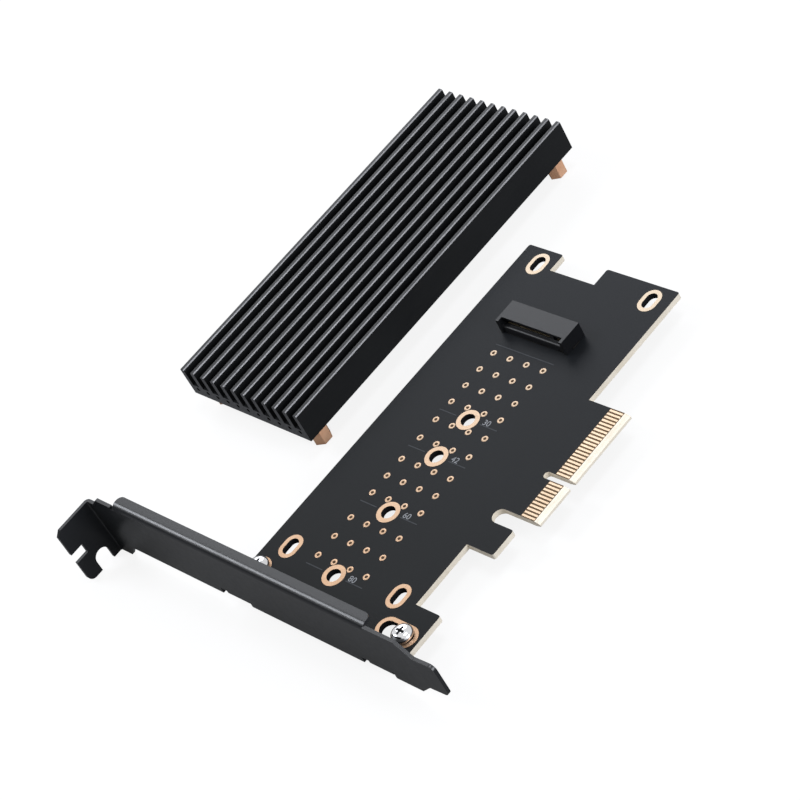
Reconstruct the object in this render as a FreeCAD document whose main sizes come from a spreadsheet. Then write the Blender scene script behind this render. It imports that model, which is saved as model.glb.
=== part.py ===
import FreeCAD, Part
import math
import os
import Sketcher

# Plug-in adapter card that carries one solid-state drive module, with its finned heatsink
# taken off and standing beside it on its four standoffs.
# Frame: origin at the centre of the farthest module hole, on the board's upper face.
# +X runs from the bracket to the board's far end, +Y towards the bracket's tab, +Z up.

# Driving dimensions in millimetres: name, value, meaning.
SIZES = (
    ("board_thick", 1.6, "thickness of the board"),
    ("board_past", 21.9, "far edge of the board, past the longest module's inner end"),
    ("board_left", 23.8, "edge on the tab's side"),
    ("board_right", 25.6, "edge on the contacts' side"),
    ("board_gap", 0.4, "gap between the board and the bracket"),
    ("corner_round", 0.6, "rounding of the board's corners"),
    ("end_notch_depth", 5.4, "notch in the far edge, along X"),
    ("end_notch_left", 12.3, "notch side on the tab's side"),
    ("end_notch_right", 2.4, "notch side on the contacts' side"),
    ("tongue_near", 32.2, "contact tongue, side near the bracket"),
    ("tongue_far", 66.35, "contact tongue, far side"),
    ("tongue_out", 38.45, "outer edge of the tongue"),
    ("bevel_run", 1.6, "bevel of the tongue's edge, along Y"),
    ("bevel_drop", 0.45, "bevel of the tongue's edge, along Z"),
    ("key_centre", 44.25, "key notch, centre along X"),
    ("key_wide", 1.9, "width of the key notch"),
    ("key_inner", 29.9, "inner end of the key notch"),
    ("gullet_wide", 4.03, "slot between tongue and hook"),
    ("gullet_inner", 25.8, "inner end of that slot"),
    ("hook_wide", 7.67, "width of the hook beside the slot"),
    ("hook_out", 33.83, "outer edge of the hook"),
    ("lug_far", 2.0, "far side of the lug at the bracket"),
    ("lug_out", 33.55, "outer edge of the lug"),
    ("foil", 0.05, "thickness of the plated copper"),
    ("finger_pitch", 1.0, "contact pitch"),
    ("finger_wide", 0.7, "width of a contact"),
    ("finger_first", 32.7, "first contact's centre"),
    ("finger_near_count", 11, "contacts before the key notch"),
    ("finger_second", 45.7, "first contact's centre after the key notch"),
    ("finger_far_count", 21, "contacts after the key notch"),
    ("finger_inner", 32.67, "inner end of the contacts"),
    ("finger_margin", 0.15, "bare board between a contact and the bevel"),
    ("hole_radius", 1.85, "module hole, inside the plating"),
    ("hole_ring", 1.22, "width of the ring round a module hole"),
    ("module_short", 30.0, "module length held by the second hole from the bracket's far side"),
    ("module_small", 42.0, "next module length"),
    ("module_medium", 60.0, "next module length"),
    ("module_long", 80.0, "module length held by the hole at the origin"),
    ("via_row_pitch", 5.5, "pitch of the rows of lands"),
    ("via_rows", 4, "rows of lands"),
    ("via_radius", 0.87, "radius of a land"),
    ("via_sides", 12, "sides of a land"),
    ("via_lead", 3.0, "from a module hole to the first land after it"),
    ("via_tail_long", 5.0, "from the last land of the first group to the next hole"),
    ("via_tail_medium", 4.0, "the same in the second group"),
    ("via_tail_small", 3.0, "the same in the third group"),
    ("via_step", 5.45, "pitch of the lands in the last group"),
    ("print_wide", 0.25, "width of a printed line"),
    ("print_thick", 0.02, "thickness of the print"),
    ("print_reach", 9.6, "end of a printed line from the middle"),
    ("print_inner", 4.0, "start of a printed line from the middle"),
    ("print_before", 8.1, "printed line before the longest module's inner end"),
    ("sink_slot_x", 49.6, "centre of the heatsink slots along X"),
    ("sink_slot_y", -1.44, "centre of the heatsink slots along Y"),
    ("sink_spread_x", 95.1, "distance of the heatsink slots along X"),
    ("sink_spread_y", 36.85, "distance of the heatsink slots along Y"),
    ("sink_slot_radius", 1.5, "half width of a heatsink slot"),
    ("sink_slot_travel", 0.9, "half travel of a heatsink slot"),
    ("sink_slot_ring", 1.09, "ring round a heatsink slot"),
    ("screw_x", -6.0, "bracket screws, from the origin"),
    ("screw_left", 20.3, "bracket screw on the tab's side"),
    ("screw_right", 28.7, "bracket screw on the contacts' side"),
    ("screw_radius", 1.5, "thread radius of a bracket screw"),
    ("screw_head", 2.7, "radius of a screw head"),
    ("screw_head_tall", 1.9, "height of a screw head"),
    ("screw_head_rim", 0.85, "height of the straight rim of a head"),
    ("screw_crown", 1.95, "radius of the flat crown of a head"),
    ("screw_long", 4.0, "length of a screw under its head"),
    ("recess_wide", 0.75, "width of the cross recess"),
    ("recess_reach", 1.45, "half length of the cross recess"),
    ("recess_deep", 1.1, "depth of the cross recess"),
    ("pad_slot_radius", 2.05, "half width of the slots under the bracket screws"),
    ("pad_slot_travel", 3.0, "half travel of the lower slot"),
    ("pad_slot_shift", 2.1, "lower slot's centre from its screw"),
    ("pad_ring", 1.05, "ring round those slots"),
    ("thread_gap", 0.05, "radial gap of a screw in its thread"),
    ("sheet", 0.9, "bracket sheet"),
    ("bend_inner", 0.4, "inner radius of the bracket's bends"),
    ("plate_out", -14.61, "outer plane of the bracket"),
    ("plate_low", 2.6, "lower edge of the plate, under the board's upper face"),
    ("plate_high", 15.0, "upper edge of the plate"),
    ("tab_y", 68.4, "lower face of the tab"),
    ("tab_low", 6.73, "lower edge of the tab, under the board's upper face"),
    ("tab_wide", 18.42, "width of the tab"),
    ("tab_deep", 11.15, "depth of the tab from the outer plane"),
    ("tab_step_in", 64.1, "end of the wide part, lower edge"),
    ("tab_step_out", 60.6, "end of the lower step"),
    ("tab_top_in", 66.0, "end of the wide part, upper edge"),
    ("tab_top_out", 63.3, "end of the upper step"),
    ("tab_top_edge", 14.3, "upper edge of the plate between the flange and the tab"),
    ("notch_high", 3.75, "square notch in the tab, upper side"),
    ("notch_wide", 3.05, "width of the square notch"),
    ("notch_deep", 3.8, "depth of the square notch"),
    ("seat_centre", 4.8, "screw notch of the tab, from the outer plane"),
    ("seat_radius", 2.2, "half width of the screw notch"),
    ("seat_top", 3.65, "centre of the notch's round, under the board's upper face"),
    ("tab_round", 2.0, "rounding of the tab's lower outer corner"),
    ("tab_chamfer", 1.4, "chamfer of the tab's upper outer corner"),
    ("foot_y", -51.64, "end of the bracket's tongue"),
    ("foot_wide", 10.19, "width of the bracket's tongue"),
    ("foot_low", 0.9, "lower edge of the bracket's tongue"),
    ("foot_step_in", -41.6, "start of the steps to the tongue"),
    ("foot_step_out", -45.6, "end of the steps to the tongue"),
    ("foot_lean", 0.2, "inward lean of the tongue at its end"),
    ("foot_round", 1.5, "rounding of the tongue's corners"),
    ("flange_left", 56.4, "end of the flange on the tab's side"),
    ("flange_right", -31.9, "end of the flange on the contacts' side"),
    ("flange_reach", 3.6, "reach of the flange from the outer plane"),
    ("flange_top", 15.4, "upper face of the flange"),
    ("flange_round", 1.6, "rounding of the flange's corners"),
    ("relief_wide", 1.3, "relief beside a bend"),
    ("relief_deep", 0.5, "relief past the bend line"),
    ("ear_wide", 7.4, "width of an ear under the board"),
    ("ear_relief_near", 0.7, "relief on an ear's far side"),
    ("ear_relief_wide", 2.4, "relief on an ear's other side"),
    ("socket_before", 4.45, "front of the side walls, before the module's inner end"),
    ("socket_past", 2.5, "back of the socket, past the module's inner end"),
    ("socket_room", 0.5, "room between a row of contacts and the side walls"),
    ("socket_tall", 4.2, "height of the socket"),
    ("socket_wall", 0.95, "side wall of the socket"),
    ("socket_sill", 2.0, "height of the lower lip"),
    ("socket_sill_front", 0.4, "set-back of the lower lip"),
    ("socket_hood_front", 1.5, "set-back of the upper lip"),
    ("socket_slot_low", 2.2, "floor of the card slot"),
    ("socket_slot_tall", 1.3, "height of the card slot"),
    ("socket_slot_past", 0.3, "room past the module's inner end"),
    ("divider_wide", 1.2, "width of the key divider"),
    ("pin_pitch", 0.5, "pitch of the socket's contacts in a row"),
    ("pin_wide", 0.22, "width of a socket contact"),
    ("pin_thick", 0.14, "thickness of a socket contact"),
    ("pin_upper_count", 38, "places in the upper row"),
    ("pin_lower_count", 37, "places in the lower row"),
    ("pin_key_count", 5, "places in the upper row on the contacts' side of the divider"),
    ("pin_skip_count", 4, "places left out at the divider"),
    ("pin_foot", 0.9, "length of an upper contact's foot on the board"),
    ("pin_inset", 0.3, "set-back of the contacts from the lip in front"),
    ("pin_row_margin", 0.1, "room at the ends of a row of contacts"),
    ("tab_solder_wide", 0.35, "width of a hold-down"),
    ("tab_solder_long", 2.6, "length of a hold-down"),
    ("tab_solder_thick", 0.3, "thickness of a hold-down"),
    ("sink_long", 104.8, "length of the heatsink"),
    ("sink_tall", 8.98, "height of the heatsink"),
    ("fin_count", 12, "number of fins"),
    ("fin_pitch", 3.9, "pitch of the fins"),
    ("fin_wide", 1.45, "thickness of a fin"),
    ("sink_base", 3.4, "base under the fins"),
    ("standoff_tall", 5.6, "length of a standoff's hex"),
    ("standoff_flats", 4.5, "width across a standoff's flats"),
    ("standoff_bore", 1.25, "radius of a standoff's threaded hole"),
    ("standoff_bore_deep", 4.2, "depth of that hole"),
    ("pad_long", 72.0, "length of the thermal pad"),
    ("pad_wide", 20.0, "width of the thermal pad"),
    ("pad_thick", 1.0, "thickness of the thermal pad"),
    ("sink_x", 82.0, "middle of the heatsink along X, as it stands beside the card"),
    ("sink_y", 59.0, "middle of the heatsink along Y, as it stands beside the card"),
)

doc = FreeCAD.newDocument("adapter_card")
sheet = doc.addObject("Spreadsheet::Sheet", "Sizes")
for row, (name, value, meaning) in enumerate(SIZES, 1):
    sheet.set("A%d" % row, name)
    sheet.set("B%d" % row, str(value))
    sheet.set("C%d" % row, meaning)
    sheet.setAlias("B%d" % row, name)
doc.recompute()


class Size:
    """A length worked out from the sheet: its value now, and the expression that it follows."""

    def __init__(self, value, text):
        self.value = float(value)
        self.text = text

    def __add__(self, other):
        other = as_size(other)
        return Size(self.value + other.value, "(%s + %s)" % (self.text, other.text))

    def __sub__(self, other):
        other = as_size(other)
        return Size(self.value - other.value, "(%s - %s)" % (self.text, other.text))

    def __mul__(self, other):
        other = as_size(other)
        return Size(self.value * other.value, "(%s * %s)" % (self.text, other.text))

    def __truediv__(self, other):
        other = as_size(other)
        return Size(self.value / other.value, "(%s / %s)" % (self.text, other.text))

    def __neg__(self):
        return Size(-self.value, "(0 - %s)" % self.text)

    __radd__ = __add__

    def __rsub__(self, other):
        return as_size(other) - self

    def __rmul__(self, other):
        return self * other


def as_size(value):
    """A Size for a plain number, or the Size itself."""
    return value if isinstance(value, Size) else Size(value, repr(float(value)))


def cell(name):
    """The Size held by one cell of the sheet."""
    return Size(getattr(sheet, name), "Sizes.%s" % name)


S = {name: cell(name) for name, value, meaning in SIZES}
ZERO = as_size(0)


def new_body(label):
    """A body whose separate lumps may stay separate."""
    body = doc.addObject("PartDesign::Body", label)
    body.Label = label
    body.AllowCompound = True
    return body


def origin_feature(body, role):
    """One of the body's own planes or axes."""
    return next(item for item in body.Origin.OriginFeatures if item.Role == role)


def new_sketch(body, name, role, height=ZERO):
    """A sketch on one of the body's own planes, lifted by height along its normal."""
    sketch = body.newObject("Sketcher::SketchObject", name)
    sketch.AttachmentSupport = [(origin_feature(body, role), "")]
    sketch.MapMode = "FlatFace"
    sketch.setExpression("AttachmentOffset.Base.z", height.text)
    return sketch


def fix(sketch, kind, geometry, point, size):
    """Holds a sketch point's distance from the origin at a size."""
    place = sketch.addConstraint(Sketcher.Constraint(kind, -1, 1, geometry, point, size.value))
    sketch.setExpression("Constraints[%d]" % place, size.text)


def fix_point(sketch, geometry, point, across, along):
    """Holds a sketch point at a place."""
    fix(sketch, "DistanceX", geometry, point, as_size(across))
    fix(sketch, "DistanceY", geometry, point, as_size(along))


def vector(across, along):
    """A sketch point's place now."""
    return FreeCAD.Vector(as_size(across).value, as_size(along).value, 0)


def polygon(sketch, corners):
    """A closed outline of straight lines."""
    count = len(corners)
    lines = []
    for place, corner in enumerate(corners):
        following = corners[(place + 1) % count]
        lines.append(sketch.addGeometry(Part.LineSegment(vector(*corner), vector(*following)), False))
    for place, line in enumerate(lines):
        sketch.addConstraint(Sketcher.Constraint("Coincident", line, 2, lines[(place + 1) % count], 1))
    for line, corner in zip(lines, corners):
        fix_point(sketch, line, 1, *corner)


def rectangle(sketch, low_x, low_y, high_x, high_y):
    """A rectangle between two corners."""
    polygon(sketch, ((low_x, low_y), (high_x, low_y), (high_x, high_y), (low_x, high_y)))


def circle(sketch, across, along, radius):
    """A circle at a place."""
    shape = Part.Circle(vector(across, along), FreeCAD.Vector(0, 0, 1), radius.value)
    geometry = sketch.addGeometry(shape, False)
    place = sketch.addConstraint(Sketcher.Constraint("Radius", geometry, radius.value))
    sketch.setExpression("Constraints[%d]" % place, radius.text)
    fix_point(sketch, geometry, 3, across, along)


def many_sided(sketch, across, along, radius, sides):
    """A regular outline whose corners lie on a circle."""
    count = int(sides.value)
    turns = [2 * math.pi * place / count for place in range(count)]
    polygon(sketch, [(across + radius * math.cos(turn), along + radius * math.sin(turn)) for turn in turns])


def obround(sketch, across, along, travel, radius, upright=False):
    """A slot outline: two half rounds, travel each way from the centre, joined by lines."""
    across, along = as_size(across), as_size(along)
    step = (ZERO, travel) if upright else (travel, ZERO)
    first = (across + step[0], along + step[1])
    last = (across - step[0], along - step[1])
    turn = math.pi / 2 if upright else 0.0
    arcs = []
    for centre, start in ((first, turn - math.pi / 2), (last, turn + math.pi / 2)):
        whole = Part.Circle(vector(*centre), FreeCAD.Vector(0, 0, 1), radius.value)
        arcs.append(sketch.addGeometry(Part.ArcOfCircle(whole, start, start + math.pi), False))
    lines = []
    for one, other in ((0, 1), (1, 0)):
        start = sketch.getPoint(arcs[one], 2)
        end = sketch.getPoint(arcs[other], 1)
        lines.append(sketch.addGeometry(Part.LineSegment(start, end), False))
        sketch.addConstraint(Sketcher.Constraint("Tangent", arcs[one], 2, lines[-1], 1))
        sketch.addConstraint(Sketcher.Constraint("Tangent", lines[-1], 2, arcs[other], 1))
    fix_point(sketch, arcs[0], 3, *first)
    fix_point(sketch, arcs[1], 3, *last)
    place = sketch.addConstraint(Sketcher.Constraint("Radius", arcs[0], radius.value))
    sketch.setExpression("Constraints[%d]" % place, radius.text)


def pad(body, sketch, length, reverse=False):
    """Material from a sketch along its normal."""
    feature = body.newObject("PartDesign::Pad", "%s_pad" % sketch.Name)
    feature.Profile = sketch
    feature.setExpression("Length", as_size(length).text)
    feature.Reversed = reverse
    doc.recompute()
    return feature


def pocket(body, sketch, length=None, reverse=False):
    """A cut from a sketch against its normal, or through everything both ways."""
    before = body.Shape.Volume
    feature = body.newObject("PartDesign::Pocket", "%s_pocket" % sketch.Name)
    feature.Profile = sketch
    if length is None:
        feature.Type = "ThroughAll"
        feature.SideType = "Symmetric"
    else:
        feature.setExpression("Length", as_size(length).text)
        feature.Reversed = reverse
    doc.recompute()
    if body.Shape.Volume >= before:
        raise RuntimeError("%s cuts nothing" % feature.Name)
    return feature


def pattern(body, feature, role, step, count, reverse=False):
    """Copies of a feature along one of the body's axes."""
    copies = body.newObject("PartDesign::LinearPattern", "%s_row" % feature.Name)
    copies.Originals = [feature]
    copies.Direction = (origin_feature(body, role), [""])
    copies.Reversed = reverse
    copies.Mode = "Spacing"
    copies.setExpression("Offset", step.text)
    copies.setExpression("Occurrences", count.text)
    body.Tip = copies
    doc.recompute()
    return copies


def round_edges(body, places, radius, direction):
    """Rounds the body's straight edges that run along a direction through given places."""
    wanted = FreeCAD.Vector(*direction)
    names = []
    for number, edge in enumerate(body.Shape.Edges, 1):
        if edge.Curve.TypeId != "Part::GeomLine" or abs(edge.Curve.Direction.dot(wanted)) < 0.999:
            continue
        middle = edge.CenterOfMass
        for place in places:
            offset = FreeCAD.Vector(*[as_size(value).value for value in place]) - middle
            if (offset - wanted * offset.dot(wanted)).Length < 0.01:
                names.append("Edge%d" % number)
                break
    if not names:
        raise RuntimeError("no edge to round on %s" % body.Label)
    carrier = body.Tip
    feature = body.newObject("PartDesign::Fillet", "%s_round_%d" % (body.Label, len(body.Group)))
    feature.Base = (carrier, names)
    feature.setExpression("Radius", radius.text)
    doc.recompute()
    return feature


# Places shared by several sub-parts.
BOARD_LOW = -S["board_thick"]
PLATE_INNER = S["plate_out"] + S["sheet"]
BOARD_NEAR = PLATE_INNER + S["board_gap"]
GULLET_NEAR = S["tongue_near"] - S["gullet_wide"]
MODULE_HOLES = (
    ZERO,
    S["module_long"] - S["module_medium"],
    S["module_long"] - S["module_small"],
    S["module_long"] - S["module_short"],
)
SINK_SLOTS = tuple(
    (S["sink_slot_x"] + S["sink_spread_x"] * side_x, S["sink_slot_y"] + S["sink_spread_y"] * side_y)
    for side_x in (-0.5, 0.5)
    for side_y in (-0.5, 0.5)
)
PAD_SLOT_Y = S["pad_slot_shift"] - S["screw_right"]
BOARD_FAR = S["module_long"] + S["board_past"]
PRINT_LAST = S["module_long"] - S["print_before"]
SOCKET_NEAR = S["module_long"] - S["socket_before"]
SOCKET_FAR = S["module_long"] + S["socket_past"]
SOCKET_SLOT_END = S["module_long"] + S["socket_slot_past"]
PIN_ROW = S["pin_pitch"] * S["pin_upper_count"] / 2
SOCKET_INSIDE = PIN_ROW + S["socket_room"]
DIVIDER_Y = PIN_ROW - S["pin_pitch"] * (S["pin_key_count"] + S["pin_skip_count"] / 2 - 0.25)
PIN_RISER = SOCKET_NEAR + S["socket_hood_front"] + S["pin_inset"]


def make_board():
    """The board: outline with its tongue, hook and lug, all holes, and the bevelled edge."""
    body = new_body("circuit_board")
    outline = new_sketch(body, "board_outline", "XY_Plane", BOARD_LOW)
    corners = (
        (BOARD_NEAR, S["board_left"]),
        (BOARD_NEAR, -S["lug_out"]),
        (S["lug_far"], -S["lug_out"]),
        (S["lug_far"], -S["board_right"]),
        (GULLET_NEAR - S["hook_wide"], -S["board_right"]),
        (GULLET_NEAR - S["hook_wide"], -S["hook_out"]),
        (GULLET_NEAR, -S["hook_out"]),
        (GULLET_NEAR, -(S["gullet_inner"] + S["gullet_wide"] / 2)),
        (S["tongue_near"], -(S["gullet_inner"] + S["gullet_wide"] / 2)),
        (S["tongue_near"], -S["tongue_out"]),
        (S["tongue_far"], -S["tongue_out"]),
        (S["tongue_far"], -S["board_right"]),
        (BOARD_FAR, -S["board_right"]),
        (BOARD_FAR, -S["end_notch_right"]),
        (BOARD_FAR - S["end_notch_depth"], -S["end_notch_right"]),
        (BOARD_FAR - S["end_notch_depth"], S["end_notch_left"]),
        (BOARD_FAR, S["end_notch_left"]),
        (BOARD_FAR, S["board_left"]),
    )
    polygon(outline, corners)
    pad(body, outline, S["board_thick"])

    notches = new_sketch(body, "board_notches", "XY_Plane")
    gullet_round = S["gullet_wide"] / 2
    circle(notches, S["tongue_near"] - gullet_round, -(S["gullet_inner"] + gullet_round), gullet_round)
    pocket(body, notches)
    key = new_sketch(body, "board_key", "XY_Plane")
    key_round = S["key_wide"] / 2
    key_travel = (S["tongue_out"] - S["key_inner"]) / 2
    obround(key, S["key_centre"], -(S["key_inner"] + key_round + key_travel), key_travel, key_round, True)
    pocket(body, key)

    holes = new_sketch(body, "board_holes", "XY_Plane")
    for along in MODULE_HOLES:
        circle(holes, along, 0, S["hole_radius"])
    circle(holes, S["screw_x"], S["screw_left"], S["pad_slot_radius"])
    pocket(body, holes)
    slots = new_sketch(body, "board_slots", "XY_Plane")
    for across, along in SINK_SLOTS:
        obround(slots, across, along, S["sink_slot_travel"], S["sink_slot_radius"])
    obround(slots, S["screw_x"], PAD_SLOT_Y, S["pad_slot_travel"], S["pad_slot_radius"], True)
    pocket(body, slots)

    bevel = new_sketch(body, "board_bevel", "YZ_Plane")
    edge = -S["tongue_out"]
    for face, drop in ((ZERO, -S["bevel_drop"]), (BOARD_LOW, BOARD_LOW + S["bevel_drop"])):
        polygon(bevel, ((edge, drop), (edge, face), (edge + S["bevel_run"], face)))
    pocket(body, bevel)
    outer = [place for place in range(len(corners)) if place not in (3, 4, 7, 8, 9, 10, 11, 14, 15)]
    round_edges(body, [(*corners[place], 0) for place in outer], S["corner_round"], (0, 0, 1))


def make_fingers(label, height, reverse):
    """The row of plated contacts on one face of the tongue, in two groups."""
    body = new_body(label)
    inner = -S["finger_inner"]
    outer = -(S["tongue_out"] - S["bevel_run"] - S["finger_margin"])
    groups = (("near", S["finger_first"], S["finger_near_count"]),
              ("far", S["finger_second"], S["finger_far_count"]))
    for name, first, count in groups:
        sketch = new_sketch(body, "%s_%s" % (label, name), "XY_Plane", height)
        half = S["finger_wide"] / 2
        rectangle(sketch, first - half, outer, first + half, inner)
        finger = pad(body, sketch, S["foil"], reverse)
        pattern(body, finger, "X_Axis", S["finger_pitch"], count)


def make_plating(label, draw, ring):
    """Plated rings on the board's upper face, round one kind of hole."""
    body = new_body(label)
    sketch = new_sketch(body, "%s_plan" % label, "XY_Plane")
    draw(sketch, ZERO)
    draw(sketch, ring)
    pad(body, sketch, S["foil"])


def draw_module_holes(sketch, growth):
    """Circles round the four module holes."""
    for along in MODULE_HOLES:
        circle(sketch, along, 0, S["hole_radius"] + growth)


def draw_sink_slots(sketch, growth):
    """Slot outlines at the four heatsink slots."""
    for across, along in SINK_SLOTS:
        obround(sketch, across, along, S["sink_slot_travel"], S["sink_slot_radius"] + growth)


def draw_left_pad(sketch, growth):
    """Circle under the bracket screw on the tab's side."""
    circle(sketch, S["screw_x"], S["screw_left"], S["pad_slot_radius"] + growth)


def draw_right_pad(sketch, growth):
    """Slot outline under the bracket screw on the contacts' side."""
    obround(sketch, S["screw_x"], PAD_SLOT_Y, S["pad_slot_travel"], S["pad_slot_radius"] + growth, True)


def make_lands():
    """Flat plated lands over the module's place, in groups of three columns."""
    body = new_body("via_lands")
    half_span = S["via_row_pitch"] * (S["via_rows"] - 1) / 2
    lead = S["via_lead"]
    groups = []
    for place, (tail, columns) in enumerate((("via_tail_long", 3), ("via_tail_medium", 3), ("via_tail_small", 2))):
        gap = MODULE_HOLES[place + 1] - MODULE_HOLES[place]
        groups.append((MODULE_HOLES[place] + lead, (gap - lead - S[tail]) / (columns - 1), columns))
    groups.append((MODULE_HOLES[-1] + lead, S["via_step"], 4))
    for place, (first, step, columns) in enumerate(groups):
        sketch = new_sketch(body, "land_%d" % place, "XY_Plane")
        many_sided(sketch, first, -half_span, S["via_radius"], S["via_sides"])
        land = pad(body, sketch, S["foil"])
        copies = pattern(body, land, "X_Axis", step, as_size(columns))
        copies.Direction2 = (origin_feature(body, "Y_Axis"), [""])
        copies.Mode2 = "Spacing"
        copies.setExpression("Offset2", S["via_row_pitch"].text)
        copies.setExpression("Occurrences2", S["via_rows"].text)
        doc.recompute()


def make_print():
    """Printed lines that mark each module length."""
    body = new_body("printed_lines")
    sketch = new_sketch(body, "line_layout", "XY_Plane")
    half = S["print_wide"] / 2
    for along in MODULE_HOLES:
        for side in (-1, 1):
            rectangle(sketch, along - half, S["print_inner"] * side, along + half, S["print_reach"] * side)
    rectangle(sketch, PRINT_LAST - half, -S["print_reach"], PRINT_LAST + half, S["print_reach"])
    pad(body, sketch, S["print_thick"])


def make_socket():
    """The module socket: block, card slot on both sides of the key divider, stepped lips."""
    body = new_body("socket_housing")
    half = SOCKET_INSIDE + S["socket_wall"]
    plan = new_sketch(body, "socket_plan", "XY_Plane")
    rectangle(plan, SOCKET_NEAR, -half, SOCKET_FAR, half)
    pad(body, plan, S["socket_tall"])

    inside = SOCKET_INSIDE
    front = new_sketch(body, "socket_lips", "XZ_Plane", inside)
    sill_front = SOCKET_NEAR + S["socket_sill_front"]
    hood_front = SOCKET_NEAR + S["socket_hood_front"]
    polygon(front, ((SOCKET_NEAR - 1, ZERO), (sill_front, ZERO), (sill_front, S["socket_sill"]),
                    (hood_front, S["socket_sill"]), (hood_front, S["socket_tall"] + 1),
                    (SOCKET_NEAR - 1, S["socket_tall"] + 1)))
    pocket(body, front, inside * 2)

    slot = new_sketch(body, "socket_slot", "YZ_Plane", SOCKET_NEAR - 1)
    low = S["socket_slot_low"]
    high = low + S["socket_slot_tall"]
    divider = -DIVIDER_Y
    rectangle(slot, -inside, low, divider - S["divider_wide"] / 2, high)
    rectangle(slot, divider + S["divider_wide"] / 2, low, inside, high)
    pocket(body, slot, SOCKET_SLOT_END - SOCKET_NEAR + 1, True)

    row = PIN_ROW + S["pin_row_margin"]
    thick = S["pin_thick"]
    slits = new_sketch(body, "socket_slits", "XZ_Plane", row)
    rectangle(slits, SOCKET_SLOT_END - thick, high - thick, SOCKET_FAR + 1, high)
    front = sill_front - 1
    polygon(slits, ((front, -thick), (PIN_RISER + thick, -thick), (PIN_RISER + thick, low + thick),
                    (PIN_RISER, low + thick), (PIN_RISER, thick), (front, thick)))
    pocket(body, slits, row * 2)


def make_pins(label, profile, count, before):
    """One row of formed socket contacts, each a bent strip, with some before the divider."""
    body = new_body(label)
    first = S["pin_pitch"] * (1 - count) / 2
    after = before + S["pin_skip_count"]
    groups = (("low", first, before), ("high", first + S["pin_pitch"] * after, count - after))
    for name, start, number in groups:
        sketch = new_sketch(body, "%s_%s" % (label, name), "XZ_Plane", -(start + S["pin_wide"] / 2))
        polygon(sketch, profile)
        strip = pad(body, sketch, S["pin_wide"])
        pattern(body, strip, "Y_Axis", S["pin_pitch"], number)


def make_socket_metal():
    """The two rows of contacts and the hold-downs at the socket's ends."""
    thick = S["pin_thick"]
    low = S["socket_slot_low"]
    roof = low + S["socket_slot_tall"]
    back = SOCKET_FAR
    tip = SOCKET_NEAR + S["socket_hood_front"] + S["pin_inset"]
    upper = ((tip, roof), (back + thick, roof), (back + thick, thick), (back + S["pin_foot"], thick),
             (back + S["pin_foot"], ZERO), (back, ZERO), (back, roof - thick), (tip, roof - thick))
    make_pins("socket_contacts_upper", upper, S["pin_upper_count"], S["pin_key_count"])
    end = SOCKET_SLOT_END - S["pin_inset"]
    foot = SOCKET_NEAR + S["socket_sill_front"] - thick
    lower = ((end, low), (end, low + thick), (PIN_RISER, low + thick), (PIN_RISER, thick),
             (foot, thick), (foot, ZERO), (PIN_RISER + thick, ZERO), (PIN_RISER + thick, low))
    make_pins("socket_contacts_lower", lower, S["pin_lower_count"], S["pin_key_count"] - 1)

    body = new_body("socket_hold_downs")
    half = SOCKET_INSIDE + S["socket_wall"]
    middle = (SOCKET_NEAR + SOCKET_FAR) / 2
    plan = new_sketch(body, "hold_down_plan", "XY_Plane")
    for side in (-1, 1):
        rectangle(plan, middle - S["tab_solder_long"] / 2, half * side,
                  middle + S["tab_solder_long"] / 2, (half + S["tab_solder_wide"]) * side)
    pad(body, plan, S["tab_solder_thick"])


def draw_bend(sketch, inner_x, outer_x, level, toward, reach):
    """A quarter bend from an upright sheet into a level leg, with the leg's end at reach."""
    radius = S["bend_inner"]
    whole = radius + S["sheet"]
    centre = (inner_x + radius, level)
    quarter = (math.pi / 2, math.pi) if toward > 0 else (math.pi, 1.5 * math.pi)
    arcs = []
    for size in (whole, radius):
        ring = Part.Circle(vector(*centre), FreeCAD.Vector(0, 0, 1), size.value)
        arc = sketch.addGeometry(Part.ArcOfCircle(ring, *quarter), False)
        fix_point(sketch, arc, 3, *centre)
        place = sketch.addConstraint(Sketcher.Constraint("Radius", arc, size.value))
        sketch.setExpression("Constraints[%d]" % place, size.text)
        arcs.append(arc)
    leg, root = (1, 2) if toward > 0 else (2, 1)
    outer_leg = (centre[0], level + whole * toward)
    inner_leg = (centre[0], level + radius * toward)
    places = ((arcs[0], leg, outer_leg), (arcs[1], leg, inner_leg),
              (arcs[0], root, (outer_x, level)), (arcs[1], root, (inner_x, level)))
    chain = (outer_leg, (reach, outer_leg[1]), (reach, inner_leg[1]), inner_leg)
    lines = [sketch.addGeometry(Part.LineSegment(vector(*chain[step]), vector(*chain[step + 1])), False)
             for step in range(3)]
    closing = sketch.addGeometry(Part.LineSegment(vector(*places[3][2]), vector(*places[2][2])), False)
    ends = ((lines[0], 1, arcs[0], leg), (lines[0], 2, lines[1], 1), (lines[1], 2, lines[2], 1),
            (lines[2], 2, arcs[1], leg), (closing, 1, arcs[1], root), (closing, 2, arcs[0], root))
    for one, one_end, other, other_end in ends:
        sketch.addConstraint(Sketcher.Constraint("Coincident", one, one_end, other, other_end))
    fix(sketch, "DistanceX", lines[1], 1, reach)
    fix(sketch, "DistanceY", lines[1], 1, outer_leg[1])
    fix(sketch, "DistanceY", lines[1], 2, inner_leg[1])
    sketch.addConstraint(Sketcher.Constraint("Vertical", lines[1]))
    sketch.addConstraint(Sketcher.Constraint("Vertical", lines[0], 1, arcs[0], 3))
    sketch.addConstraint(Sketcher.Constraint("Vertical", lines[2], 2, arcs[1], 3))
    sketch.addConstraint(Sketcher.Constraint("Horizontal", closing, 1, arcs[1], 3))
    sketch.addConstraint(Sketcher.Constraint("Horizontal", closing, 2, arcs[0], 3))


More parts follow.
